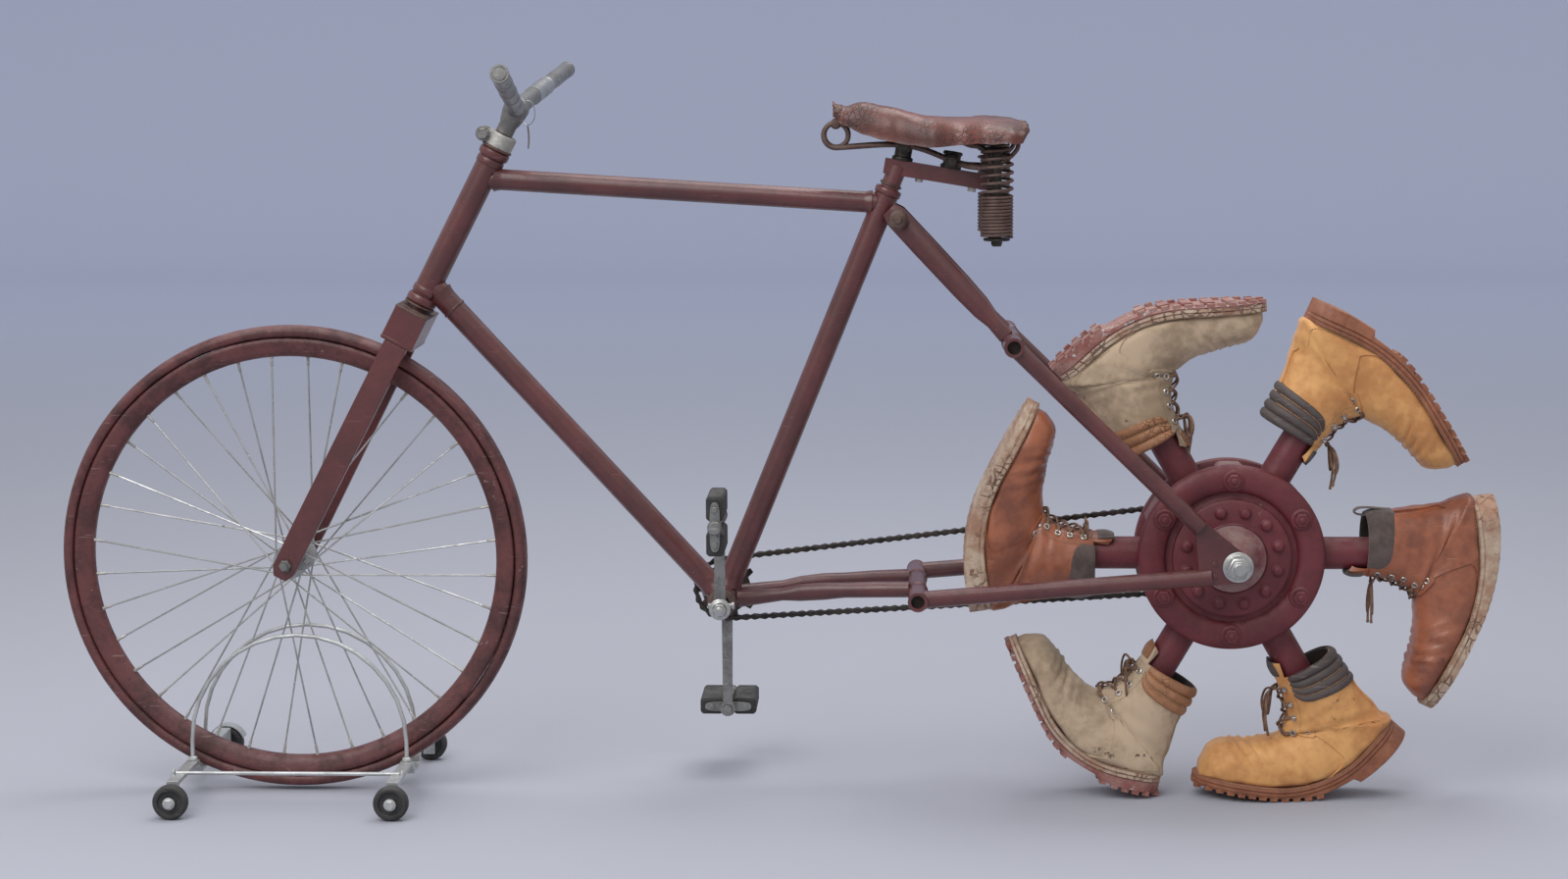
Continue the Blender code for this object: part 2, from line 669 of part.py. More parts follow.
def axle(name, centre, radius, half, seat, nut_radius, nut_height):
    """An axle with a nut outside each seat, turned in one piece."""
    nut = [(radius, seat), (nut_radius, seat), (nut_radius, seat + nut_height), (radius, seat + nut_height)]
    right = [(0, half), (radius * 0.8, half), (radius, half - 0.002)]
    profile = right + list(reversed(nut)) + [(r, -y) for r, y in nut] + [(r, -y) for r, y in reversed(right)]
    return turned(name, profile, centre, Y_AXIS, "bright_steel", ROUND)


def fork():
    crown_outline = [
        (-CROWN_HALF_DEPTH, CROWN_BOTTOM), (CROWN_HALF_DEPTH, CROWN_BOTTOM),
        (CROWN_HALF_DEPTH, CROWN_TOP), (-CROWN_HALF_DEPTH, CROWN_TOP),
    ]
    crown = slab("fork_crown", crown_outline, FRONT_AXLE, HEAD_FORE, HEAD, CROWN_HALF_WIDTH, "maroon_paint",
                 FRONT_AXLE)
    steerer_top = HEAD_TOP + CUP_HEIGHT + COLLAR_HEIGHT
    weld(crown, tube("steerer", on_head(CROWN_TOP - 0.01), on_head(steerer_top), STEERER_RADIUS, "maroon_paint"))
    outer = BLADE_FOOT_Y + BLADE_HALF_THICK
    for side, label in ((-1, "left"), (1, "right")):
        rings = []
        foot, top = -BLADE_BELOW_AXLE, CROWN_BOTTOM - GAP
        for distance, y, depth in ((foot, BLADE_FOOT_Y, 0.55), (foot + 0.012, BLADE_FOOT_Y, 0.95),
                                   (0.05, BLADE_FOOT_Y, 1), (top, BLADE_TOP_Y, 1)):
            deep, thick = BLADE_HALF_DEPTH * depth, BLADE_HALF_THICK
            corners = ((-deep, -thick), (deep, -thick), (deep, thick), (-deep, thick))
            rings.append([on_head(distance, fore, side * y + across) for fore, across in corners])
        blade = lofted("fork_blade_" + label, rings, "maroon_paint", FRONT_AXLE)
        hole = bore_tool("axle_hole_" + label, FRONT_AXLE, Y_AXIS, FRONT_AXLE_RADIUS + RUN, 0.1)
        cut(blade, hole)
    axle("front_axle", FRONT_AXLE, FRONT_AXLE_RADIUS, outer + 0.011, outer + GAP, 0.0085, 0.007)


def handlebar():
    base = HEAD_TOP + CUP_HEIGHT + GAP
    collar = [
        (STEERER_RADIUS + GAP, base), (COLLAR_RADIUS - 0.002, base), (COLLAR_RADIUS, base + 0.003),
        (COLLAR_RADIUS, base + COLLAR_HEIGHT - 0.003), (COLLAR_RADIUS - 0.002, base + COLLAR_HEIGHT - 2 * GAP),
        (STEERER_RADIUS + GAP, base + COLLAR_HEIGHT - 2 * GAP),
    ]
    ring = turned("stem_collar", collar, FRONT_AXLE, HEAD, "bright_steel")
    bolt_at = on_head(base + COLLAR_HEIGHT / 2, COLLAR_RADIUS + 0.004)
    reach = Y_AXIS * 0.018
    weld(ring, tube("collar_bolt", bolt_at - reach, bolt_at + reach, 0.0075, "bright_steel", sides=8))
    stem_foot = base + COLLAR_HEIGHT + GAP
    boss = on_head(BOSS_AT)
    bar = tube("handlebar", on_head(stem_foot), on_head(BOSS_AT), STEM_RADIUS, "bright_steel")
    ball = [(BOSS_RADIUS * math.cos(a), BOSS_RADIUS * math.sin(a)) for a in (-1.2, -0.7, -0.2, 0.3, 0.8, 1.25)]
    tools = [turned("boss", [(0, 0)] + ball + [(0, 0)], boss, Y_AXIS, "bright_steel")]
    for side, label in ((-1, "left"), (1, "right")):
        tip = boss + Vector((BAR_SWEEP, side * BAR_HALF_SPAN, BAR_RISE))
        tools.append(tube("bar_" + label, boss, tip, BAR_RADIUS, "bright_steel"))
    weld(bar, *tools)


def main_frame():
    top_cup = HEAD_TOP + GAP
    low_cup = HEAD_BOTTOM - GAP
    tube("head_tube", on_head(HEAD_BOTTOM), on_head(HEAD_TOP), HEAD_RADIUS, "maroon_paint",
         STEERER_RADIUS + 2 * RUN)
    for name, base, rise in (("headset_cup_upper", top_cup, CUP_HEIGHT - 2 * GAP),
                             ("headset_cup_lower", low_cup, -CUP_HEIGHT)):
        bore = STEERER_RADIUS + RUN
        section = [(bore, base), (CUP_RADIUS - 0.0015, base), (CUP_RADIUS, base + 0.25 * rise),
                   (CUP_RADIUS, base + 0.75 * rise), (CUP_RADIUS - 0.003, base + rise), (bore, base + rise)]
        turned(name, section, FRONT_AXLE, HEAD, "maroon_paint")
    head_clear = HEAD_RADIUS + GAP
    seat_clear = SEAT_TUBE_RADIUS + GAP
    shell_clear = SHELL_RADIUS + GAP
    tube("seat_tube", CRANK, on_seat(SEAT_TUBE_LENGTH), SEAT_TUBE_RADIUS, "maroon_paint", POST_RADIUS + RUN)
    cut(bpy.data.objects["seat_tube"], bore_tool("shell_saddle_seat", CRANK, Y_AXIS, shell_clear, 0.1))
    tube("top_tube", on_head(TOP_TUBE_AT_HEAD), on_seat(TOP_TUBE_AT_SEAT), TOP_TUBE_RADIUS, "maroon_paint",
         TOP_TUBE_RADIUS - TUBE_WALL)
    cut(bpy.data.objects["top_tube"], bore_tool("head_saddle_top", on_head(TOP_TUBE_AT_HEAD), HEAD, head_clear, 0.1),
        bore_tool("seat_saddle_top", on_seat(TOP_TUBE_AT_SEAT), SEAT, seat_clear, 0.1))
    tube("down_tube", on_head(DOWN_TUBE_AT_HEAD), CRANK, DOWN_TUBE_RADIUS, "maroon_paint",
         DOWN_TUBE_RADIUS - TUBE_WALL)
    cut(bpy.data.objects["down_tube"], bore_tool("head_saddle_down", on_head(DOWN_TUBE_AT_HEAD), HEAD, head_clear, 0.1),
        tube("cup_room", on_head(HEAD_BOTTOM - 0.1), on_head(HEAD_BOTTOM + GAP), CUP_RADIUS + GAP, "maroon_paint"),
        bore_tool("shell_saddle_down", CRANK, Y_AXIS, shell_clear, 0.1),
        bore_tool("seat_saddle_down", CRANK + SEAT * 0.1, SEAT, seat_clear, 0.1))
    shell = Y_AXIS * SHELL_HALF_WIDTH
    tube("bottom_bracket_shell", CRANK - shell, CRANK + shell, SHELL_RADIUS, "maroon_paint", SPINDLE_RADIUS + RUN)


def flattened_tube(name, stations, up, finish, sides=12):
    """A tube of changing oval section along (point, half height, half width) stations."""
    rings = []
    for i, (point, half_high, half_wide) in enumerate(stations):
        before = stations[max(i - 1, 0)][0]
        after = stations[min(i + 1, len(stations) - 1)][0]
        along = (after - before).normalized()
        high = (up - along * up.dot(along)).normalized()
        rings.append(ring_points(point, high, along.cross(high), half_high, half_wide, sides))
    return lofted(name, rings, finish)


def between(start, end, share):
    return start + (end - start) * share


def chain_stays():
    """Two crimped tubes from the crank shell to the lower cross tube, welded to it."""
    span = Y_AXIS * CROSS_HALF_SPAN
    stays = tube("chain_stays", LOWER_CROSS - span, LOWER_CROSS + span, CROSS_RADIUS, "maroon_paint", CROSS_BORE)
    for side, label in ((-1, "left"), (1, "right")):
        start = CRANK + Vector((SHELL_RADIUS + 0.0015, side * (CHAIN_STAY_Y - 0.008), 0.002))
        end = LOWER_CROSS + Vector((-CROSS_BORE - 0.002, side * (CHAIN_STAY_REAR_Y - 0.028), 0.003))
        crimps = ((0, 1, 1), (0.12, 0.9, 0.9), (0.26, 0.75, 0.75), (0.36, 1.0, 0.7), (0.5, 1.05, 0.85),
                  (0.62, 0.9, 0.9), (0.8, 0.95, 0.9), (1, 0.95, 0.9))
        bow = Z_AXIS * 0.004
        stations = [
            (between(start, end, share) + bow * math.sin(math.pi * share), STAY_RADIUS * high, STAY_RADIUS * wide)
            for share, high, wide in crimps
        ]
        weld(stays, flattened_tube("chain_stay_" + label, stations, Z_AXIS, "maroon_paint"))
    return stays


def seat_stay_arms():
    """Two pressed arms from the pivot to the upper cross tube, welded to it."""
    span = Y_AXIS * CROSS_HALF_SPAN
    arms = tube("seat_stay_arms", UPPER_CROSS - span, UPPER_CROSS + span, CROSS_RADIUS, "maroon_paint", CROSS_BORE)
    down = (UPPER_CROSS - PIVOT).normalized()
    for side, label in ((-1, "left"), (1, "right")):
        start = PIVOT - down * 0.004 + Y_AXIS * side * ARM_TOP_Y
        end = UPPER_CROSS - down * (CROSS_BORE + 0.002) + Y_AXIS * side * ARM_FOOT_Y
        widths = ((-0.06, 0.70, 0.9), (0, 1, 1), (0.25, 1.0, 1.3), (0.6, 0.95, 1.6), (0.78, 0.85, 1.4),
                  (0.88, 0.62, 1.2), (1, 0.70, 1.3))
        stations = [
            (between(start, end, share), ARM_HALF_WIDTH * high, ARM_HALF_THICK * wide)
            for share, high, wide in widths
        ]
        weld(arms, flattened_tube("seat_stay_arm_" + label, stations, Z_AXIS, "maroon_paint"))
    cut(arms, bore_tool("pivot_hole", PIVOT, Y_AXIS, PIVOT_RADIUS + GAP, 0.1))
    inner = ARM_TOP_Y - ARM_HALF_THICK * 1.4
    outer = ARM_TOP_Y + ARM_HALF_THICK * 1.6
    half = [(0, outer + 0.009), (0.007, outer + 0.009), (0.010, outer + 0.003), (0.010, outer),
            (PIVOT_RADIUS, outer), (PIVOT_RADIUS, inner), (0.012, inner)]
    lug = turned("pivot_bolt", half + [(r, -y) for r, y in reversed(half)], PIVOT, Y_AXIS, "maroon_paint")
    cut(lug, bore_tool("seat_saddle_pivot", on_seat(PIVOT_DISTANCE), SEAT, SEAT_TUBE_RADIUS + GAP, 0.1))
    cut(arms, bore_tool("seat_saddle_arms", on_seat(PIVOT_DISTANCE), SEAT, SEAT_TUBE_RADIUS + GAP, 0.1))


def rear_triangle():
    """On each side a stay with the dropout plate on its end, and a seat stay that meets the plate."""
    stay_foot = Vector((-0.048, 0, 0.050))
    seat_line = (REAR_AXLE + stay_foot - UPPER_CROSS).normalized()
    edge = Vector((-seat_line.z, 0, seat_line.x))
    shoulders = [stay_foot + edge * 0.0095, stay_foot - edge * 0.0095]
    corners = [(p.x, p.z) for p in shoulders]
    outline = corners + [(-0.050, -0.006), (-0.046, -0.026), (0.004, -0.021), (0.016, -0.014), (0.020, -0.002),
                         (0.016, 0.012), (0.004, 0.020)]
    lower_clear = CROSS_RADIUS + GAP
    for side, label in ((-1, "left"), (1, "right")):
        y = Y_AXIS * side * STAY_Y
        plate = slab("dropout_" + label, outline, REAR_AXLE + y, Vector((1, 0, 0)), Z_AXIS, DROPOUT_HALF_THICK,
                     "maroon_paint")
        foot = REAR_AXLE + Vector((-0.034, 0, -0.0135)) + y
        stay = tube("rear_stay_" + label, LOWER_CROSS + y, foot, STAY_RADIUS, "maroon_paint")
        weld(stay, plate)
        cut(stay, bore_tool("axle_seat_" + label, REAR_AXLE, Y_AXIS, REAR_AXLE_RADIUS + RUN, 0.2),
            bore_tool("lower_saddle_" + label, LOWER_CROSS, Y_AXIS, lower_clear, 0.2))
        end = REAR_AXLE + stay_foot - seat_line * GAP + y
        upper = tube("seat_stay_" + label, UPPER_CROSS + y, end, STAY_RADIUS, "maroon_paint")
        cut(upper, bore_tool("upper_saddle_" + label, UPPER_CROSS, Y_AXIS, lower_clear, 0.2))
    seat = STAY_Y + DROPOUT_HALF_THICK + GAP
    axle("rear_axle", REAR_AXLE, REAR_AXLE_RADIUS, REAR_AXLE_HALF, seat, 0.0195, 0.012)


def boot_wheel():
    for letter, angle, tilt, flex in BOOTS:
        boot_upper("boot_upper_" + letter, angle, tilt, flex)
        boot_sole("boot_sole_" + letter, angle, tilt, flex)
    leg_spider()
    hub_plate("hub_plate_left", -1)
    weld(hub_plate("hub_plate_right", 1), hub_spacers())
    toothed("rear_sprocket", REAR_TEETH, REAR_AXLE + Y_AXIS * CHAIN_Y, HUB_BOSS_RADIUS, REAR_AXLE)


def crankset():
    """Spindle, chainring and two cranks; the left crank is welded to the spindle."""
    eye = CRANK_HALF_THICK
    ring_seat = CHAIN_Y + SPROCKET_HALF_THICK + GAP
    spindle_end = CRANK_Y + CRANK_HALF_THICK
    step_at = CHAIN_Y - 0.005 - GAP
    fit = SPINDLE_STEP + GAP
    left = turned("crank_left", [
        (0, -spindle_end - 0.004), (0.0085, -spindle_end - 0.004), (CRANK_EYE, -spindle_end),
        (CRANK_EYE, -CRANK_Y + eye), (SPINDLE_RADIUS, -CRANK_Y + eye + 0.004), (SPINDLE_RADIUS, step_at),
        (SPINDLE_STEP, step_at), (SPINDLE_STEP, spindle_end), (0, spindle_end),
    ], CRANK, Y_AXIS, "bright_steel", ROUND, CRANK)
    turned("chainring_hub", [(fit, CHAIN_Y - 0.005), (0.013, CHAIN_Y - 0.005), (0.013, ring_seat), (fit, ring_seat)], CRANK, Y_AXIS, "chain_steel")
    ring = toothed("chainring", FRONT_TEETH, CRANK + Y_AXIS * CHAIN_Y, 0.0100, CRANK)
    weld(ring, bpy.data.objects["chainring_hub"])
    hole = PEDAL_PIN_RADIUS + RUN
    for side, label, length, up in ((-1, "left", CRANK_LEFT, 1), (1, "right", CRANK_RIGHT, -1)):
        y = Y_AXIS * side * CRANK_Y
        eye_at = CRANK + Z_AXIS * up * length
        rings = []
        for share, half in ((0, 0.9), (0.06, 1), (0.94, 0.85), (1.0, 0.85)):
            centre = between(CRANK, eye_at, share) + y
            rings.append([centre + Vector((dx * CRANK_HALF_WIDTH * half, dy * CRANK_HALF_THICK * 0.88, 0))
                          for dx, dy in ((-1, -1), (1, -1), (1, 1), (-1, 1))])
        arm = lofted("arm_" + label, rings, "bright_steel")
        reach = Y_AXIS * CRANK_HALF_THICK
        end = tube("eye_" + label, eye_at + y - reach, eye_at + y + reach, CRANK_EYE * 0.85, "bright_steel")
        pedal_hole = bore_tool("pedal_hole_" + label, eye_at + y, Y_AXIS, hole, 0.03)
        if side < 0:
            cut(weld(left, arm, end), pedal_hole)
        else:
            right = turned("crank_right", [
                (fit, CRANK_Y - eye), (CRANK_EYE, CRANK_Y - eye), (CRANK_EYE, spindle_end), (fit, spindle_end),
            ], CRANK, Y_AXIS, "bright_steel", ROUND, CRANK)
            spindle_hole = bore_tool("spindle_hole", CRANK + y, Y_AXIS, fit, 0.03)
            cut(weld(right, arm, end), pedal_hole, spindle_hole)
        pedal("pedal_" + label, eye_at, side, up)


def pedal(name, eye_at, side, up):
    """Two rubber blocks between end plates, on a pin through the crank's eye."""
    start = CRANK_Y + CRANK_HALF_THICK + 0.002
    end = start + PEDAL_LENGTH
    along = Vector((1, 0, 0)) if up < 0 else Z_AXIS
    across = Z_AXIS if up < 0 else Vector((1, 0, 0))
    pin = turned(name, [
        (0, side * (CRANK_Y - CRANK_HALF_THICK - 0.003)), (PEDAL_PIN_RADIUS, side * (CRANK_Y - CRANK_HALF_THICK - 0.003)),
        (PEDAL_PIN_RADIUS, side * start), (0.0085, side * start), (0.0085, side * (end + 0.004)),
        (0.006, side * (end + 0.010)), (0, side * (end + 0.010)),
    ], eye_at, Y_AXIS, "black_rubber", ROUND, eye_at)
    middle = eye_at + Y_AXIS * side * (start + end) / 2
    half_block = (PEDAL_REACH - PEDAL_SLOT) / 2
    for sign, label in ((-1, "_low"), (1, "_high")):
        centre = middle + along * sign * (PEDAL_SLOT + half_block)
        outline = [(-half_block, -PEDAL_BLOCK_HALF), (half_block, -PEDAL_BLOCK_HALF),
                   (half_block, PEDAL_BLOCK_HALF), (-half_block, PEDAL_BLOCK_HALF)]
        block = slab(name + label, outline, centre, along, across, PEDAL_LENGTH / 2 - 0.004, "black_rubber")
        weld(pin, block)
    for y_at, label in ((start + 0.0015, "_inner"), (end - 0.0015, "_outer")):
        centre = eye_at + Y_AXIS * side * y_at
        reach = PEDAL_REACH - 0.004
        outline = [(-reach, -0.007), (reach, -0.007), (reach, 0.007), (-reach, 0.007)]
        weld(pin, slab(name + label, outline, centre, along, across, 0.0015 + 0.002, "black_rubber"))


def seat_pillar():
    """Round post with a square arm that carries the saddle clamp, and the saddle's wire frame."""
    low = SEAT_TUBE_LENGTH - POST_DEPTH
    top = SEAT_TUBE_LENGTH + POST_RISE
    post = tube("seat_post", on_seat(low), on_seat(top), POST_RADIUS, "maroon_paint")
    arm_along = Vector((math.cos(POST_ARM_DROP), 0, -math.sin(POST_ARM_DROP)))
    arm_up = Vector((math.sin(POST_ARM_DROP), 0, math.cos(POST_ARM_DROP)))
    root = on_seat(top - 0.002)
    reach = POST_ARM_HALF
    outline = [(-0.018, -reach), (POST_ARM_LENGTH, -reach), (POST_ARM_LENGTH, reach), (-0.018, reach)]
    weld(post, slab("post_arm", outline, root, arm_along, arm_up, reach, "maroon_paint"))
    return root, arm_along, arm_up


def saddle(root, arm_along, arm_up):
    nose_x = FRONT_AXLE_X + SADDLE_NOSE_X
    nose_ring = Vector((nose_x + 0.004, 0, SADDLE_TOP_Z - NOSE_RING_DOWN))
    clamp_low = root + arm_up * (POST_ARM_HALF + GAP)
    front_clamp, rear_clamp = clamp_low + arm_along * 0.004, clamp_low + arm_along * 0.068
    spring_x = FRONT_AXLE_X + SPRING_X
    shape = bmesh.new()
    tube_shape(shape, front_clamp, front_clamp + arm_up * FRONT_CLAMP_HEIGHT, CLAMP_RADIUS, sides=8)
    frame = place("saddle_frame", shape, "spring_steel")
    tools = [tube("rear_clamp", rear_clamp, rear_clamp + arm_up * REAR_CLAMP_HEIGHT, CLAMP_RADIUS + 0.001,
                  "spring_steel", sides=8)]
    wire_front = front_clamp + arm_up * 0.020
    wire_rear = rear_clamp + arm_up * 0.010
    bridge = Y_AXIS * (WIRE_Y + 0.004)
    for centre, label in ((wire_front, "front"), (wire_rear, "rear")):
        tools.append(tube("clamp_bolt_" + label, centre - bridge, centre + bridge, 0.0065, "spring_steel", sides=8))
    for side, label in ((-1, "left"), (1, "right")):
        y = Y_AXIS * side * WIRE_Y
        loop_top = math.radians(70)
        turns = [loop_top + 2 * math.pi * 0.90 * i / 16 for i in range(17)]
        loop = [nose_ring + Vector((math.cos(a), 0, math.sin(a))) * NOSE_RING_RADIUS
                + Y_AXIS * side * (0.0060 + 0.0080 * i / 16) for i, a in enumerate(turns)]
        foot = Vector((spring_x - SPRING_RADIUS + 0.002, side * (SPRING_Y - 0.004), SPRING_TOP_Z - 0.012))
        path = loop[:13] + [wire_front + y, wire_rear + y, between(wire_rear + y, foot, 0.55), foot]
        tools.append(bent_wire("wire_" + label, path, WIRE_RADIUS, "spring_steel"))
    nose_pin = Y_AXIS * 0.012
    top_of_loop = nose_ring + Z_AXIS * (NOSE_RING_RADIUS - 0.001)
    tools.append(tube("nose_pin", top_of_loop - nose_pin, top_of_loop + nose_pin, 0.0042, "spring_steel", sides=8))
    weld(frame, *tools)
    saddle_top(nose_x)
    for side, label in ((-1, "left"), (1, "right")):
        centre = Vector((spring_x, side * SPRING_Y, 0))
        bore = SPRING_RADIUS - 0.004
        spring = [(bore, SPRING_FOOT_Z), (SPRING_RADIUS, SPRING_FOOT_Z), (SPRING_RADIUS, SPRING_TOP_Z),
                  (bore, SPRING_TOP_Z)]
        coil = turned("saddle_spring_" + label, spring, centre, Z_AXIS, "spring_steel", ROUND, centre)
        cut(coil, spring_notch(label, side, spring_x))


def spring_notch(label, side, spring_x):
    """Room in the spring for the end of the frame wire."""
    size = Vector((SPRING_RADIUS, SPRING_RADIUS, 0.010))
    centre = Vector((spring_x - SPRING_RADIUS, side * (SPRING_Y - 0.004), SPRING_TOP_Z - 0.010))
    outline = [(-size.x, -size.z), (size.x, -size.z), (size.x, 0.02), (-size.x, 0.02)]
    return slab("frame_clear_" + label, outline, centre, Vector((1, 0, 0)), Z_AXIS, 0.009, "spring_steel")


def saddle_top(nose_x):
    """A leather top, lofted from the narrow nose to the wide tail, hollow below."""
    stations = (
        # share of the length, half width, crown height, rim height, below the top line
        (0.00, 0.14, -0.010, -0.018),
        (0.05, 0.22, -0.003, -0.026),
        (0.16, 0.26, 0.002, -0.031),
        (0.32, 0.32, 0.000, -0.036),
        (0.50, 0.46, -0.003, -0.039),
        (0.66, 0.70, -0.004, -0.036),
        (0.80, 0.92, -0.001, -0.032),
        (0.92, 1.00, -0.001, -0.029),
        (1.00, 0.90, -0.008, -0.024),
    )
    wall = 0.005
    rings = []
    for share, wide, crown, rim in stations:
        x = nose_x + SADDLE_LENGTH * share
        line = SADDLE_TOP_Z - SADDLE_TAIL_DROP * share
        half = SADDLE_HALF_WIDTH * wide
        outer = [(math.cos(a) * half, line + rim + (crown - rim) * math.sin(a) ** 0.8)
                 for a in (math.pi * i / 8 for i in range(9))]
        inner = [(math.cos(a) * (half - wall), line + rim + (crown - rim - wall) * math.sin(a) ** 0.8)
                 for a in (math.pi * i / 8 for i in range(8, -1, -1))]
        rings.append([Vector((x, y, z)) for y, z in outer + inner])
    return lofted("saddle_top", rings, "saddle_leather")


def dolly():
    centre_x = FRONT_AXLE_X + DOLLY_SHIFT
    arc_z = HOOP_TOP_Z - HOOP_HALF_BASE
    foot_z = BRIDGE_TOP_Z + GAP
    for side, label in ((-1, "left"), (1, "right")):
        y = side * HOOP_Y
        points = [Vector((centre_x + HOOP_HALF_BASE, y, foot_z))]
        for i in range(17):
            turn = math.pi * i / 16
            points.append(Vector((centre_x + HOOP_HALF_BASE * math.cos(turn), y,
                                  arc_z + HOOP_HALF_BASE * math.sin(turn))))
        points.append(Vector((centre_x - HOOP_HALF_BASE, y, foot_z)))
        bent_wire("dolly_hoop_" + label, points, HOOP_RADIUS, "bright_steel")
    inner_edge = HOOP_HALF_BASE - DOLLY_SHIFT - BRIDGE_HALF_WIDTH
    dip = FRONT_AXLE.z - math.sqrt(TYRE_RADIUS ** 2 - inner_edge ** 2) - GAP
    high, thick, span = BRIDGE_TOP_Z, BRIDGE_THICK, BRIDGE_HALF_SPAN
    half_top = [(span, high), (TYRE_HALF_WIDTH + 0.017, high), (TYRE_HALF_WIDTH + 0.005, dip)]
    half_low = [(TYRE_HALF_WIDTH + 0.009, dip - thick), (TYRE_HALF_WIDTH + 0.021, high - thick),
                (span - thick, high - thick), (span - thick, 0.012), (span, 0.012)]
    outline = half_top + [(-y, z) for y, z in reversed(half_top)]
    outline += [(-y, z) for y, z in reversed(half_low)] + half_low
    bridges = []
    for sign, label in ((-1, "front"), (1, "rear")):
        origin = Vector((centre_x + sign * HOOP_HALF_BASE, 0, 0))
        bridges.append(slab("dolly_bridge_" + label, outline, origin, Y_AXIS, Z_AXIS, BRIDGE_HALF_WIDTH,
                            "bright_steel"))
    base = bridges[0]
    base.name = "dolly_base"
    rod_z = BRIDGE_TOP_Z + HOOP_RADIUS - 0.001
    reach = Vector((HOOP_HALF_BASE + 0.004, 0, 0))
    rod_at = Vector((centre_x, SIDE_ROD_Y, rod_z))
    tools = [bridges[1], tube("side_rod", rod_at - reach, rod_at + reach, HOOP_RADIUS, "bright_steel", sides=8)]
    for x_sign, end in ((-1, "front"), (1, "rear")):
        for side, label in ((-1, "left"), (1, "right")):
            hub = Vector((centre_x + x_sign * HOOP_HALF_BASE, 0, CASTOR_RADIUS))
            inner, outer = side * (span - 0.002), side * (CASTOR_Y + CASTOR_HALF_WIDTH + 0.001)
            head = side * (CASTOR_Y + CASTOR_HALF_WIDTH + 0.004)
            pin = [(0, inner), (CASTOR_PIN_RADIUS, inner), (CASTOR_PIN_RADIUS, outer), (0.0068, outer),
                   (0.0060, head), (0, head)]
            tools.append(turned("castor_pin_%s_%s" % (end, label), pin, hub, Y_AXIS, "bright_steel", 10))
            half, radius = CASTOR_HALF_WIDTH, CASTOR_RADIUS
            tread = [(CASTOR_PIN_RADIUS + RUN, -half), (radius - 0.003, -half), (radius, -half + 0.003),
                     (radius, half - 0.003), (radius - 0.003, half), (CASTOR_PIN_RADIUS + RUN, half)]
            centre = hub + Y_AXIS * side * CASTOR_Y
            turned("castor_%s_%s" % (end, label), tread, centre, Y_AXIS, "black_rubber", 24, centre)
    weld(base, *tools)


def build():
    clear_scene()
    main_frame()
    chain_stays()
    seat_stay_arms()
    rear_triangle()
    fork()
    handlebar()
    front_wheel()
    dolly()
    boot_wheel()
    chain_loop()
    crankset()
    saddle(*seat_pillar())


build()
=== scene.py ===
"""The looks of a bicycle whose rear wheel walks on six work boots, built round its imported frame."""

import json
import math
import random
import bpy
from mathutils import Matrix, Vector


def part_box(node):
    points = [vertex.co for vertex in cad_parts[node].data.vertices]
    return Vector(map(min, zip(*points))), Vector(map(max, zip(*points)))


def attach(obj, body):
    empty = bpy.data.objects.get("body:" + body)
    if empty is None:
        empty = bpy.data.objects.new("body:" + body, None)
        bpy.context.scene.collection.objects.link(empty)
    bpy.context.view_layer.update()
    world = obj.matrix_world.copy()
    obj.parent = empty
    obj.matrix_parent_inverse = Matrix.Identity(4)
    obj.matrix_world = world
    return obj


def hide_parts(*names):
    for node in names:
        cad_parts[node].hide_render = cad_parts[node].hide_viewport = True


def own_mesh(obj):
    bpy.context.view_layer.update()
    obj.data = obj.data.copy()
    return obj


bl_info = {
    "name": "Boot Wheel Cycle",
    "version": (1, 0, 0),
    "blender": (4, 5, 0),
    "location": "View3D > Sidebar > Cycle",
    "description": "Builds the finished surfaces of a bicycle with a rear wheel of work boots",
    "category": "Add Mesh",
}

import bmesh
import bpy
from bpy.props import FloatProperty, FloatVectorProperty, IntProperty, PointerProperty
from mathutils import Matrix, Vector, noise

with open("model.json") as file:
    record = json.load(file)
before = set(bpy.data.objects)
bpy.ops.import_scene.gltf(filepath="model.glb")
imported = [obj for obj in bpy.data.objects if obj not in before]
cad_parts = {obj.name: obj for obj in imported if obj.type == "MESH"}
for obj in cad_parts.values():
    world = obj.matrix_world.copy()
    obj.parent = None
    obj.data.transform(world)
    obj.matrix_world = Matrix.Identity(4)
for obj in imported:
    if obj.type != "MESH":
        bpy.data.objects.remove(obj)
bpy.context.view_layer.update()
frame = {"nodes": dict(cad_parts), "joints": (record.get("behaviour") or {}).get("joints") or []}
JOINTS = {joint["name"]: joint for joint in frame["joints"]}


def joint_place(name):
    return Vector(JOINTS[name]["pos_m"])


X, Y, Z = Vector((1, 0, 0)), Vector((0, 1, 0)), Vector((0, 0, 1))
FRONT_AXLE = joint_place("front_wheel_spin")
REAR_AXLE = joint_place("rear_wheel_spin")
CRANK = joint_place("crank_spin")
HEAD = Vector(JOINTS["steering"]["axis"]).normalized()
FORE = Vector((-HEAD.z, 0, HEAD.x))
SEAT = Vector(JOINTS["seat_height"]["axis"]).normalized()


def on_head(distance, fore=0.0, side=0.0):
    """A point up the steering axis from the front axle."""
    return FRONT_AXLE + HEAD * distance + FORE * fore + Y * side


def on_seat(distance):
    """A point up the seat tube from the crank's axis."""
    return CRANK + SEAT * distance


def middle(node):
    low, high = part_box(node)
    return (low + high) / 2


def around(turn):
    """The direction at an angle in the cycle's own plane, from straight back."""
    return Vector((math.cos(turn), 0, math.sin(turn)))


def circle(count):
    """Angles spaced evenly round a full turn."""
    return [2 * math.pi * i / count for i in range(count)]


def signed_power(value, power):
    return math.copysign(abs(value) ** power, value)


def limited(value, low=0.0, high=1.0):
    return min(max(value, low), high)


# ---- sizes and colours a user would change

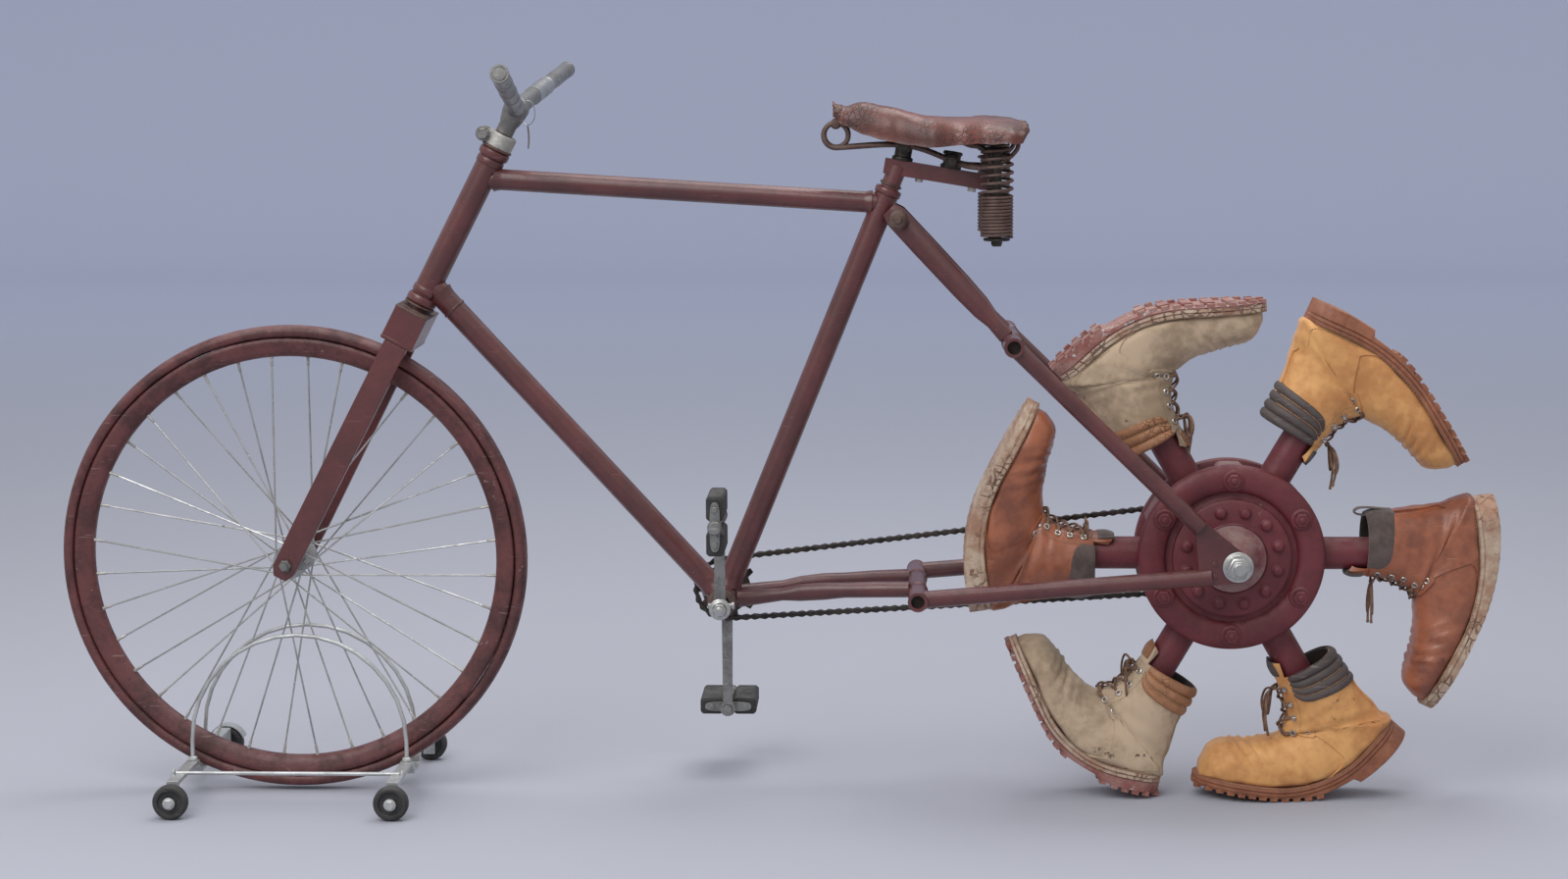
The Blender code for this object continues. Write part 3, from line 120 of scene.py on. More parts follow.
def size(label, default, description):
    return FloatProperty(name=label, description=description, default=default, unit="LENGTH", precision=4)


def tint(label, default, description):
    return FloatVectorProperty(name=label, description=description, default=default, size=3, subtype="COLOR",
                               min=0.0, max=1.0)


class WheelSizes(bpy.types.PropertyGroup):
    tyre_depth: size("Tyre depth", 0.0165, "Visible depth of the tyre outside the rim")
    rim_depth: size("Rim depth", 0.025, "Depth of the deep rim")
    flange_radius: size("Flange radius", 0.023, "Radius of the front hub's flanges")
    flange_out: size("Flange distance", 0.031, "From the wheel's middle to a flange")
    spoke_radius: size("Spoke radius", 0.00125, "Radius of a spoke wire")
    spokes: IntProperty(name="Spokes per side", description="Spokes laced to each flange", default=18, min=6)


class BarSizes(bpy.types.PropertyGroup):
    bar_radius: size("Bar radius", 0.0113, "Radius of each arm of the handlebar")
    boss_up: size("Boss height", 0.672, "Up the steering axis from the axle to the boss")
    sweep: size("Sweep", 0.027, "How far each grip runs back")
    rise: size("Rise", 0.048, "How far each grip rises")
    half_span: size("Half span", 0.352, "From the middle to the end of a grip")


class HubSizes(bpy.types.PropertyGroup):
    groove_radius: size("Groove radius", 0.087, "Radius of the groove inside the rounded ring")
    disc_radius: size("Disc radius", 0.078, "Radius of the raised inner disc")
    boss_radius: size("Boss radius", 0.035, "Radius of the cone at the disc")
    ring_circle: size("Ring bolt circle", 0.103, "Radius of the circle of the large bolts")
    disc_circle: size("Disc bolt circle", 0.062, "Radius of the circle of the small bolts")
    face_out: size("Outer face", 0.0455, "From the wheel's middle to the plate's face")
    face_in: size("Inner face", 0.0225, "From the wheel's middle to the plate's back")


class BootSizes(bpy.types.PropertyGroup):
    foot_length: size("Foot length", 0.292, "Length of a sole along the footbed")
    seat_radius: size("Seat radius", 0.3545, "From the axle to the outside of a sole under the leg")
    heel_back: size("Heel back", -0.076, "The heel's end behind the leg's axis")
    heel_sole: size("Heel thickness", 0.030, "Thickness of the sole at the heel")
    flex_start: size("Flex start", 0.055, "Along the footbed to where the sole begins to bend")
    flex_length: size("Flex length", 0.135, "Length over which the sole bends")
    collar_reach: size("Collar reach", 0.180, "From the axle to the boot's top edge")
    lace_radius: size("Lace radius", 0.0016, "Radius of a lace")


class DriveSizes(bpy.types.PropertyGroup):
    pitch: size("Chain pitch", 0.0254, "Distance from one block to the next")
    front_teeth: IntProperty(name="Front teeth", description="Teeth of the chainring", default=10, min=6)
    rear_teeth: IntProperty(name="Rear teeth", description="Teeth of the rear sprocket", default=15, min=6)


class Colours(bpy.types.PropertyGroup):
    paint: tint("Frame paint", (0.112, 0.028, 0.029), "Old maroon enamel on the frame")
    wheel_paint: tint("Wheel paint", (0.125, 0.036, 0.036), "Worn maroon paint on the tyre and rim")
    hub_paint: tint("Hub paint", (0.150, 0.024, 0.032), "Maroon paint on the hub and legs")
    saddle: tint("Saddle leather", (0.150, 0.036, 0.025), "Glazed leather of the saddle")
    suede: tint("Suede", (0.560, 0.420, 0.290), "Olive grey suede")
    nubuck: tint("Nubuck", (0.720, 0.375, 0.130), "Yellow tan nubuck")
    oiled: tint("Oiled leather", (0.370, 0.120, 0.058), "Brown oiled leather")
    floor: tint("Floor", (0.398, 0.408, 0.468), "Pale grey blue floor")
    backdrop: tint("Backdrop", (0.545, 0.592, 0.760), "Pale grey blue backdrop behind the floor")


class StageSizes(bpy.types.PropertyGroup):
    camera_x: size("Camera X", 0.1599, "Camera place along the cycle")
    camera_y: size("Camera Y", -3.7345, "Camera place beside the cycle")
    camera_z: size("Camera Z", 0.9907, "Camera height")
    pitch: FloatProperty(name="Pitch", description="How far the camera looks down",
                         default=math.radians(7.808), subtype="ANGLE")
    heading: FloatProperty(name="Heading", description="How far the camera turns to the left",
                           default=math.radians(2.218), subtype="ANGLE")
    roll: FloatProperty(name="Roll", description="Tilt of the camera", default=math.radians(-0.248),
                        subtype="ANGLE")
    lens: FloatProperty(name="Lens", description="Focal length on a 36 mm sensor", default=65.3,
                        unit="CAMERA")
    world_light: FloatProperty(name="World light", description="Strength of the light all round",
                               default=0.62)
    lamp_watts: FloatProperty(name="Lamp power", description="Power of the key lamp", default=62.0,
                              unit="POWER")


GROUPS = {"wheel": WheelSizes, "bar": BarSizes, "hub": HubSizes, "boot": BootSizes, "drive": DriveSizes,
          "colours": Colours, "stage": StageSizes}


def setting(group):
    return getattr(bpy.context.scene, "cycle_" + group)


# ---- shader node groups

def socket_kind(value):
    if isinstance(value, tuple):
        return "NodeSocketColor"
    return "NodeSocketFloat"


class Nodes:
    """Short ways to add and link nodes in one tree."""

    def __init__(self, tree):
        self.tree = tree

    def add(self, kind, inputs=None, **settings):
        node = self.tree.nodes.new("ShaderNode" + kind)
        for key, value in settings.items():
            setattr(node, key, value)
        for key, value in (inputs or {}).items():
            if isinstance(value, bpy.types.NodeSocket):
                self.tree.links.new(value, node.inputs[key])
            else:
                node.inputs[key].default_value = value
        return node

    def place(self):
        return self.add("TexCoord").outputs["Object"]

    def noise(self, scale, detail=4.0, vector=None, rough=0.55):
        node = self.add("TexNoise", {"Detail": detail, "Roughness": rough, "Vector": vector or self.place()})
        self.feed(scale, node.inputs["Scale"])
        return node.outputs["Fac"]

    def feed(self, value, target):
        if isinstance(value, bpy.types.NodeSocket):
            self.tree.links.new(value, target)
        else:
            target.default_value = value

    def math(self, operation, first, second=0.0, clamp=False):
        node = self.add("Math", operation=operation, use_clamp=clamp)
        self.feed(first, node.inputs[0])
        self.feed(second, node.inputs[1])
        return node.outputs[0]

    def between(self, value, low, high, to_low=0.0, to_high=1.0):
        node = self.add("MapRange", interpolation_type="SMOOTHSTEP")
        for key, item in (("Value", value), ("From Min", low), ("From Max", high), ("To Min", to_low),
                          ("To Max", to_high)):
            self.feed(item, node.inputs[key])
        return node.outputs["Result"]

    def mix(self, share, first, second, kind="RGBA", blend="MIX"):
        node = self.add("Mix", data_type=kind, blend_type=blend)
        offset = {"RGBA": 6, "FLOAT": 2}[kind]
        self.feed(share, node.inputs[0])
        for index, item in enumerate((first, second)):
            self.feed(item, node.inputs[offset + index])
        return node.outputs[{"RGBA": 2, "FLOAT": 0}[kind]]


def shared_group(name, inputs, outputs, fill):
    """A node group with named sockets, built once."""
    if name in bpy.data.node_groups:
        return bpy.data.node_groups[name]
    tree = bpy.data.node_groups.new(name, "ShaderNodeTree")
    for label, value in inputs.items():
        item = tree.interface.new_socket(label, in_out="INPUT", socket_type=socket_kind(value))
        item.default_value = value
    for label, kind in outputs.items():
        tree.interface.new_socket(label, in_out="OUTPUT", socket_type=kind)
    made = Nodes(tree)
    entry = tree.nodes.new("NodeGroupInput")
    leave = tree.nodes.new("NodeGroupOutput")
    for label, value in fill(made, entry.outputs).items():
        tree.links.new(value, leave.inputs[label])
    return tree


def drift_group():
    def fill(n, given):
        cloud = n.noise(given["Scale"], 6.0, rough=0.62)
        fine = n.noise(n.math("MULTIPLY", given["Scale"], 7.0), 3.0)
        blend = n.math("ADD", n.math("MULTIPLY", cloud, 0.75), n.math("MULTIPLY", fine, 0.25))
        mask = n.between(blend, 0.38, 0.62)
        return {"Colour": n.mix(mask, given["First"], given["Second"]), "Mask": mask}
    return shared_group("Colour drift", {"First": (0.5, 0.5, 0.5, 1), "Second": (0.4, 0.4, 0.4, 1),
                                         "Scale": 12.0},
                        {"Colour": "NodeSocketColor", "Mask": "NodeSocketFloat"}, fill)


def chips_group():
    def fill(n, given):
        edge = n.math("SUBTRACT", 0.80, n.math("MULTIPLY", given["Amount"], 0.40))
        where = n.noise(n.math("MULTIPLY", given["Scale"], 0.12), 2.0)
        spots = n.noise(given["Scale"], 5.0, rough=0.7)
        total = n.math("ADD", n.math("MULTIPLY", spots, 0.75), n.math("MULTIPLY", where, 0.35))
        high = n.math("ADD", edge, 0.02)
        return {"Mask": n.between(total, edge, high)}
    return shared_group("Chips", {"Scale": 160.0, "Amount": 0.3}, {"Mask": "NodeSocketFloat"}, fill)


def scratch_group():
    def fill(n, given):
        stretch = n.add("Mapping", {"Vector": n.place(), "Rotation": (0.4, 0.9, 0.3),
                                    "Scale": (1.0, 1.0, 14.0)})
        lines = n.noise(given["Scale"], 3.0, vector=stretch.outputs[0], rough=0.5)
        low = n.math("SUBTRACT", 0.74, n.math("MULTIPLY", given["Amount"], 0.2))
        return {"Mask": n.between(lines, low, n.math("ADD", low, 0.05))}
    return shared_group("Scratches", {"Scale": 30.0, "Amount": 0.4}, {"Mask": "NodeSocketFloat"}, fill)


def dust_group():
    def fill(n, given):
        up = n.add("SeparateXYZ", {"Vector": n.add("NewGeometry").outputs["Normal"]}).outputs["Z"]
        facing = n.between(up, 0.1, 1.0)
        cloud = n.between(n.noise(45.0, 5.0), 0.35, 0.70)
        return {"Mask": n.math("MULTIPLY", n.math("MULTIPLY", facing, cloud), given["Amount"], clamp=True)}
    return shared_group("Dust", {"Amount": 0.4}, {"Mask": "NodeSocketFloat"}, fill)


def grain_group():
    def fill(n, given):
        cells = n.add("TexVoronoi", {"Vector": n.place()}, feature="SMOOTH_F1")
        n.feed(given["Scale"], cells.inputs["Scale"])
        fuzz = n.noise(n.math("MULTIPLY", given["Scale"], 1.7), 4.0)
        total = n.math("ADD", n.math("MULTIPLY", cells.outputs["Distance"], given["Pebble"]),
                       n.math("MULTIPLY", fuzz, n.math("SUBTRACT", 1.0, given["Pebble"])))
        return {"Height": total}
    return shared_group("Grain", {"Scale": 600.0, "Pebble": 0.5}, {"Height": "NodeSocketFloat"}, fill)


def crack_group():
    def fill(n, given):
        warp = n.add("TexNoise", {"Vector": n.place(), "Scale": 40.0, "Detail": 3.0}).outputs["Color"]
        moved = n.add("VectorMath", {0: warp, 1: (0.012, 0.012, 0.012)}, operation="MULTIPLY").outputs[0]
        vector = n.add("VectorMath", {0: n.place(), 1: moved}, operation="ADD").outputs[0]
        cells = n.add("TexVoronoi", {"Vector": vector}, feature="DISTANCE_TO_EDGE")
        n.feed(given["Scale"], cells.inputs["Scale"])
        line = n.between(cells.outputs["Distance"], 0.0, 0.10)
        where = n.between(n.noise(14.0, 3.0), 0.42, 0.60)
        return {"Mask": n.math("MULTIPLY", n.math("SUBTRACT", 1.0, line), where)}
    return shared_group("Cracks", {"Scale": 110.0}, {"Mask": "NodeSocketFloat"}, fill)


def four(colour):
    return (colour[0], colour[1], colour[2], 1.0)


def shade(colour, factor):
    return tuple(min(1.0, part * factor) for part in colour[:3])


def finish(name, base, second, drift=12.0, rough=(0.35, 0.5), metal=0.0, grain=(700.0, 0.5, 0.0002),
           chips=None, scratches=None, dust=None, cracks=None, coat=0.0, sheen=0.0):
    """One material.

    grain is (scale, pebble share, depth in metres); chips is (colour, scale, amount, metallic);
    scratches is (colour, scale, amount); dust is (colour, amount); cracks is (colour, scale).
    """
    if name in bpy.data.materials:
        return bpy.data.materials[name]
    made = bpy.data.materials.new(name)
    made.use_nodes = True
    n = Nodes(made.node_tree)
    shader = made.node_tree.nodes["Principled BSDF"]

    def group(build, **values):
        node = n.add("Group", node_tree=build())
        for key, value in values.items():
            node.inputs[key].default_value = value
        return node.outputs

    tone = group(drift_group, First=four(base), Second=four(second), Scale=drift)
    colour = tone["Colour"]
    roughness = n.mix(tone["Mask"], rough[0], rough[1], "FLOAT")
    metallic = None
    height = group(grain_group, Scale=grain[0], Pebble=grain[1])["Height"]
    if scratches:
        mask = group(scratch_group, Scale=scratches[1], Amount=scratches[2])["Mask"]
        colour = n.mix(mask, colour, four(scratches[0]))
        height = n.math("SUBTRACT", height, n.math("MULTIPLY", mask, 0.3))
    if cracks:
        mask = group(crack_group, Scale=cracks[1])["Mask"]
        colour = n.mix(mask, colour, four(cracks[0]))
        height = n.math("SUBTRACT", height, n.math("MULTIPLY", mask, 2.0))
    if chips:
        mask = group(chips_group, Scale=chips[1], Amount=chips[2])["Mask"]
        colour = n.mix(mask, colour, four(chips[0]))
        roughness = n.mix(mask, roughness, 0.6, "FLOAT")
        metallic = n.mix(mask, metal, chips[3], "FLOAT")
        height = n.math("SUBTRACT", height, n.math("MULTIPLY", mask, 0.8))
    if dust:
        mask = group(dust_group, Amount=dust[1])["Mask"]
        colour = n.mix(mask, colour, four(dust[0]))
        roughness = n.mix(mask, roughness, 0.85, "FLOAT")
    bump = n.add("Bump", {"Height": height, "Strength": 1.0, "Distance": grain[2]})
    n.feed(colour, shader.inputs["Base Color"])
    n.feed(roughness, shader.inputs["Roughness"])
    n.feed(metallic if metallic is not None else metal, shader.inputs["Metallic"])
    n.feed(bump.outputs["Normal"], shader.inputs["Normal"])
    shader.inputs["Coat Weight"].default_value = coat
    shader.inputs["Coat Roughness"].default_value = 0.25
    shader.inputs["Sheen Weight"].default_value = sheen
    return made


GREY_DUST = (0.30, 0.25, 0.22)


def paint():
    base = tuple(setting("colours").paint)
    return finish("Frame enamel", base, shade(base, 0.62), 9.0, (0.26, 0.40), grain=(260.0, 0.1, 0.0004),
                  chips=((0.24, 0.15, 0.14), 190.0, 0.20, 0.3), scratches=(shade(base, 1.6), 40.0, 0.25),
                  dust=((0.22, 0.12, 0.12), 0.25), coat=0.3)


def wheel_paint():
    base = tuple(setting("colours").wheel_paint)
    return finish("Wheel paint", base, shade(base, 0.45), 22.0, (0.38, 0.58), grain=(330.0, 0.2, 0.0006),
                  chips=((0.27, 0.20, 0.18), 150.0, 0.27, 0.0), scratches=((0.21, 0.12, 0.11), 30.0, 0.35),
                  dust=((0.27, 0.17, 0.17), 0.40))


def hub_paint():
    base = tuple(setting("colours").hub_paint)
    return finish("Hub paint", base, shade(base, 0.68), 14.0, (0.42, 0.60), grain=(420.0, 0.3, 0.0005),
                  chips=((0.19, 0.10, 0.10), 150.0, 0.24, 0.0), dust=((0.27, 0.14, 0.14), 0.45))


def boss_paint():
    return finish("Dusty boss", (0.15, 0.040, 0.045), (0.26, 0.15, 0.145), 30.0, (0.6, 0.8),
                  grain=(500.0, 0.3, 0.0005), dust=(GREY_DUST, 0.5))


def bright_steel():
    return finish("Bright steel", (0.52, 0.52, 0.51), (0.36, 0.36, 0.355), 30.0, (0.28, 0.45), 0.9,
                  grain=(900.0, 0.1, 0.0001), chips=((0.16, 0.14, 0.12), 150.0, 0.22, 0.2),
                  scratches=((0.62, 0.62, 0.60), 40.0, 0.5))


def dull_alloy():
    return finish("Dull alloy", (0.47, 0.46, 0.43), (0.33, 0.32, 0.30), 25.0, (0.42, 0.62), 0.55,
                  grain=(500.0, 0.3, 0.0003), chips=((0.22, 0.20, 0.18), 120.0, 0.30, 0.1),
                  scratches=((0.56, 0.55, 0.53), 30.0, 0.5))


def worn_steel():
    return finish("Worn steel", (0.27, 0.27, 0.265), (0.165, 0.16, 0.155), 40.0, (0.34, 0.52), 0.7,
                  grain=(500.0, 0.3, 0.0003), chips=((0.10, 0.085, 0.075), 140.0, 0.26, 0.1),
                  scratches=((0.42, 0.42, 0.41), 40.0, 0.4))


def rod_steel():
    return finish("Rod steel", (0.55, 0.56, 0.56), (0.42, 0.43, 0.43), 40.0, (0.35, 0.5), 0.6,
                  grain=(800.0, 0.1, 0.0001), scratches=((0.34, 0.33, 0.32), 35.0, 0.45))


def oily_steel():
    return finish("Oily steel", (0.030, 0.026, 0.024), (0.070, 0.060, 0.052), 60.0, (0.30, 0.55), 0.7,
                  grain=(700.0, 0.3, 0.0002), dust=((0.12, 0.09, 0.08), 0.4))


def rusty_steel():
    return finish("Brown steel", (0.085, 0.045, 0.038), (0.150, 0.100, 0.085), 55.0, (0.45, 0.70), 0.45,
                  grain=(600.0, 0.4, 0.0004), chips=((0.24, 0.21, 0.19), 160.0, 0.30, 0.6))


def black_rubber():
    return finish("Black rubber", (0.018, 0.018, 0.019), (0.045, 0.044, 0.043), 50.0, (0.55, 0.8),
                  grain=(800.0, 0.5, 0.0004), scratches=((0.10, 0.10, 0.10), 40.0, 0.4),
                  dust=((0.16, 0.15, 0.14), 0.5))


def saddle_leather():
    base = tuple(setting("colours").saddle)
    return finish("Saddle leather", base, shade(base, 0.42), 16.0, (0.36, 0.50), grain=(380.0, 0.7, 0.0003),
                  chips=((0.030, 0.013, 0.010), 90.0, 0.24, 0.0), cracks=((0.030, 0.012, 0.009), 150.0),
                  dust=((0.34, 0.20, 0.18), 0.15), coat=0.15)


def suede():
    base = tuple(setting("colours").suede)
    return finish("Olive suede", base, (0.300, 0.215, 0.140), 11.0, (0.85, 0.95), grain=(900.0, 0.2, 0.0005),
                  chips=((0.13, 0.09, 0.055), 60.0, 0.24, 0.0), scratches=((0.52, 0.42, 0.29), 26.0, 0.15),
                  dust=((0.50, 0.41, 0.30), 0.35), sheen=0.15)


def nubuck():
    base = tuple(setting("colours").nubuck)
    return finish("Yellow nubuck", base, (0.50, 0.215, 0.070), 10.0, (0.50, 0.72), grain=(850.0, 0.4, 0.0004),
                  chips=((0.16, 0.075, 0.03), 70.0, 0.22, 0.0), scratches=((0.62, 0.36, 0.14), 26.0, 0.12),
                  sheen=0.15)


def oiled_leather():
    base = tuple(setting("colours").oiled)
    return finish("Oiled leather", base, (0.185, 0.056, 0.030), 9.0, (0.30, 0.46), grain=(620.0, 0.7, 0.0004),
                  chips=((0.07, 0.025, 0.016), 80.0, 0.16, 0.0), scratches=((0.42, 0.18, 0.09), 28.0, 0.20),
                  coat=0.18)


def tan_collar():
    return finish("Tan collar", (0.40, 0.19, 0.095), (0.27, 0.12, 0.055), 20.0, (0.5, 0.65),
                  grain=(600.0, 0.7, 0.0004), cracks=((0.14, 0.06, 0.03), 140.0))


def dark_collar():
    return finish("Dark collar", (0.062, 0.046, 0.044), (0.090, 0.070, 0.066), 22.0, (0.5, 0.7),
                  grain=(600.0, 0.7, 0.0004), scratches=((0.16, 0.13, 0.12), 30.0, 0.5))


def grey_collar():
    return finish("Grey suede collar", (0.110, 0.078, 0.068), (0.060, 0.042, 0.038), 20.0, (0.8, 0.95),
                  grain=(900.0, 0.2, 0.0005), sheen=0.25)


# Near-black finish: the boots' lining inside the top edge, and painted shade in the tube bores, on the caps
# deep in the boot shafts and under the saddle.
def lining_and_painted_shade():
    return finish("Lining and painted shade", (0.060, 0.045, 0.040), (0.030, 0.024, 0.022), 25.0, (0.8, 0.95),
                  grain=(900.0, 0.2, 0.0005))


def red_sole():
    return finish("Worn red sole", (0.235, 0.075, 0.062), (0.350, 0.190, 0.165), 24.0, (0.6, 0.8),
                  grain=(300.0, 0.5, 0.0008), chips=((0.50, 0.44, 0.42), 110.0, 0.40, 0.0),
                  dust=((0.38, 0.30, 0.27), 0.45))


def brown_sole():
    return finish("Terracotta sole", (0.330, 0.125, 0.065), (0.215, 0.075, 0.040), 20.0, (0.5, 0.7),
                  grain=(350.0, 0.4, 0.0005), chips=((0.12, 0.06, 0.04), 90.0, 0.26, 0.0),
                  dust=((0.40, 0.27, 0.21), 0.35))


def crepe_sole():
    return finish("Crepe sole", (0.52, 0.41, 0.31), (0.34, 0.19, 0.125), 16.0, (0.55, 0.75),
                  grain=(260.0, 0.6, 0.0009), chips=((0.22, 0.11, 0.075), 70.0, 0.34, 0.0),
                  cracks=((0.24, 0.13, 0.09), 70.0))


def lace_cord():
    return finish("Lace", (0.230, 0.130, 0.085), (0.110, 0.062, 0.042), 90.0, (0.75, 0.9),
                  grain=(1600.0, 0.6, 0.0004))


def thread():
    return finish("Thread", (0.32, 0.24, 0.15), (0.22, 0.15, 0.09), 90.0, (0.7, 0.9),
                  grain=(1500.0, 0.3, 0.0002))


def eyelet_steel():
    return finish("Eyelet steel", (0.62, 0.60, 0.57), (0.40, 0.37, 0.34), 90.0, (0.25, 0.4), 0.9,
                  grain=(900.0, 0.1, 0.0001))


# ---- mesh tools

def skin(bm, rings, looped=False, caps=True, mat=0, open_ring=False):
    """Faces between rings of vertices. Rings are closed loops unless open_ring is set."""
    count = len(rings[0])
    for first, second in zip(rings, rings[1:] + rings[:1] if looped else rings[1:]):
        for j in range(count - 1 if open_ring else count):
            k = (j + 1) % count
            corners = list(dict.fromkeys((first[j], first[k], second[k], second[j])))
            if len(corners) > 2:
                bm.faces.new(corners).material_index = mat
    if caps and not looped and not open_ring:
        for ring in (rings[0], rings[-1]):
            if len(set(ring)) > 2:
                bm.faces.new(ring).material_index = mat


def ring_at(bm, centre, first, second, count):
    """A closed oval ring of vertices."""
    return [bm.verts.new(centre + first * math.cos(turn) + second * math.sin(turn)) for turn in circle(count)]


def sweep(bm, path, radius, sides=14, mat=0, looped=False, caps=True, flat=1.0, up=None):
    """A tube along a path. radius is a number or one for each point; flat thins it across up."""
    path = [Vector(p) for p in path]
    count = len(path)
    sizes = radius if isinstance(radius, (list, tuple)) else [radius] * count
    rings = []
    normal = up.copy() if up else None
    for i, point in enumerate(path):
        before = path[(i - 1) % count] if looped or i else path[0]
        after = path[(i + 1) % count] if looped or i < count - 1 else path[-1]
        along = (after - before).normalized()
        if normal is None:
            normal = along.orthogonal().normalized()
        normal = (normal - along * normal.dot(along)).normalized()
        side = along.cross(normal)
        rings.append(ring_at(bm, point, side * sizes[i], normal * sizes[i] * flat, sides))
    skin(bm, rings, looped, caps, mat)


def lathe(bm, profile, centre, axis, sides=48, mat=0, looped=False):
    """A turned shape from (radius, along) points; a zero radius closes to a point."""
    axis = axis.normalized()
    side = X if abs(axis.x) < 0.9 else Z
    side = (side - axis * side.dot(axis)).normalized()
    other = axis.cross(side)
    rings = []
    for radius, along in profile:
        at = centre + axis * along
        if radius < 1e-6:
            rings.append([bm.verts.new(at)] * sides)
            continue
        rings.append([bm.verts.new(at + (side * math.cos(t) + other * math.sin(t)) * radius)
                      for t in circle(sides)])
    skin(bm, rings, looped, False, mat)


def prism(bm, outline, centre, across, up, half, mat=0):
    """A flat outline made thick along its normal."""
    normal = across.cross(up).normalized()
    rings = [[bm.verts.new(centre + across * a + up * b + normal * side * half) for a, b in outline]
             for side in (-1, 1)]
    skin(bm, rings, False, True, mat)


def nut(bm, centre, axis, radius, height, mat=0, sides=6, washer=0.0):
    """A hexagon head with a chamfered top, on a washer if one is given."""
    base = 0.0
    if washer:
        thick = height * 0.22
        lathe(bm, [(0, 0), (washer * 0.97, 0), (washer, thick * 0.3), (washer, thick * 0.8),
                   (washer * 0.96, thick), (0, thick)], centre, axis, 28, mat)
        base = thick
    lathe(bm, [(0, base), (radius, base), (radius, base + height * 0.82), (radius * 0.86, base + height),
               (0, base + height)], centre, axis, sides, mat)


def smooth(a, b, c, d, t):
    """From b to c at share t, on a curve through all four."""
    curve = (2 * a - 5 * b + 4 * c - d) * t * t + (3 * b - a - 3 * c + d) * t ** 3
    return 0.5 * (2 * b + (c - a) * t + curve)


def spline(points, steps):
    """Points on a smooth curve through the given points."""
    points = [Vector(p) for p in points]
    ends = [points[0] * 2 - points[1]] + points + [points[-1] * 2 - points[-2]]
    made = []
    for i in range(1, len(ends) - 2):
        a, b, c, d = ends[i - 1:i + 3]
        for j in range(steps):
            t = j / steps
            made.append(smooth(a, b, c, d, t))
    made.append(points[-1])
    return made


def piece(name, bm, materials, body, replaces=(), bevel=0.0, sharp=38.0):
    """Closes a mesh into a named piece that rides on its body."""
    bmesh.ops.remove_doubles(bm, verts=bm.verts, dist=1e-6)
    bmesh.ops.recalc_face_normals(bm, faces=bm.faces)
    mesh = bpy.data.meshes.new(name)
    bm.to_mesh(mesh)
    bm.free()
    mesh.shade_smooth()
    mesh.set_sharp_from_angle(angle=math.radians(sharp))
    made = bpy.data.objects.new(name, mesh)
    bpy.context.scene.collection.objects.link(made)
    for material in materials:
        mesh.materials.append(material)
    if bevel:
        soft = made.modifiers.new("Soft edges", "BEVEL")
        soft.width, soft.segments, soft.limit_method = bevel, 2, "ANGLE"
        soft.angle_limit = math.radians(sharp)
        soft.use_clamp_overlap = True
    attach(made, body)
    if replaces:
        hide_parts(*replaces)
    return made


def dress(material, *nodes, bevel=0.0006):
    """Gives CAD nodes whose shape is right a finish and soft edges."""
    for name in nodes:
        node = frame["nodes"][name]
        node.data.materials.clear()
        node.data.materials.append(material)
        node.data.shade_smooth()
        node.modifiers.new("Join", "WELD").merge_threshold = 0.00002
        soft = node.modifiers.new("Soft edges", "BEVEL")
        soft.width, soft.segments, soft.limit_method = bevel, 2, "ANGLE"
        soft.angle_limit = math.radians(40)
        node.modifiers.new("Even", "WEIGHTED_NORMAL").keep_sharp = True


# ---- front wheel, fork and handlebar

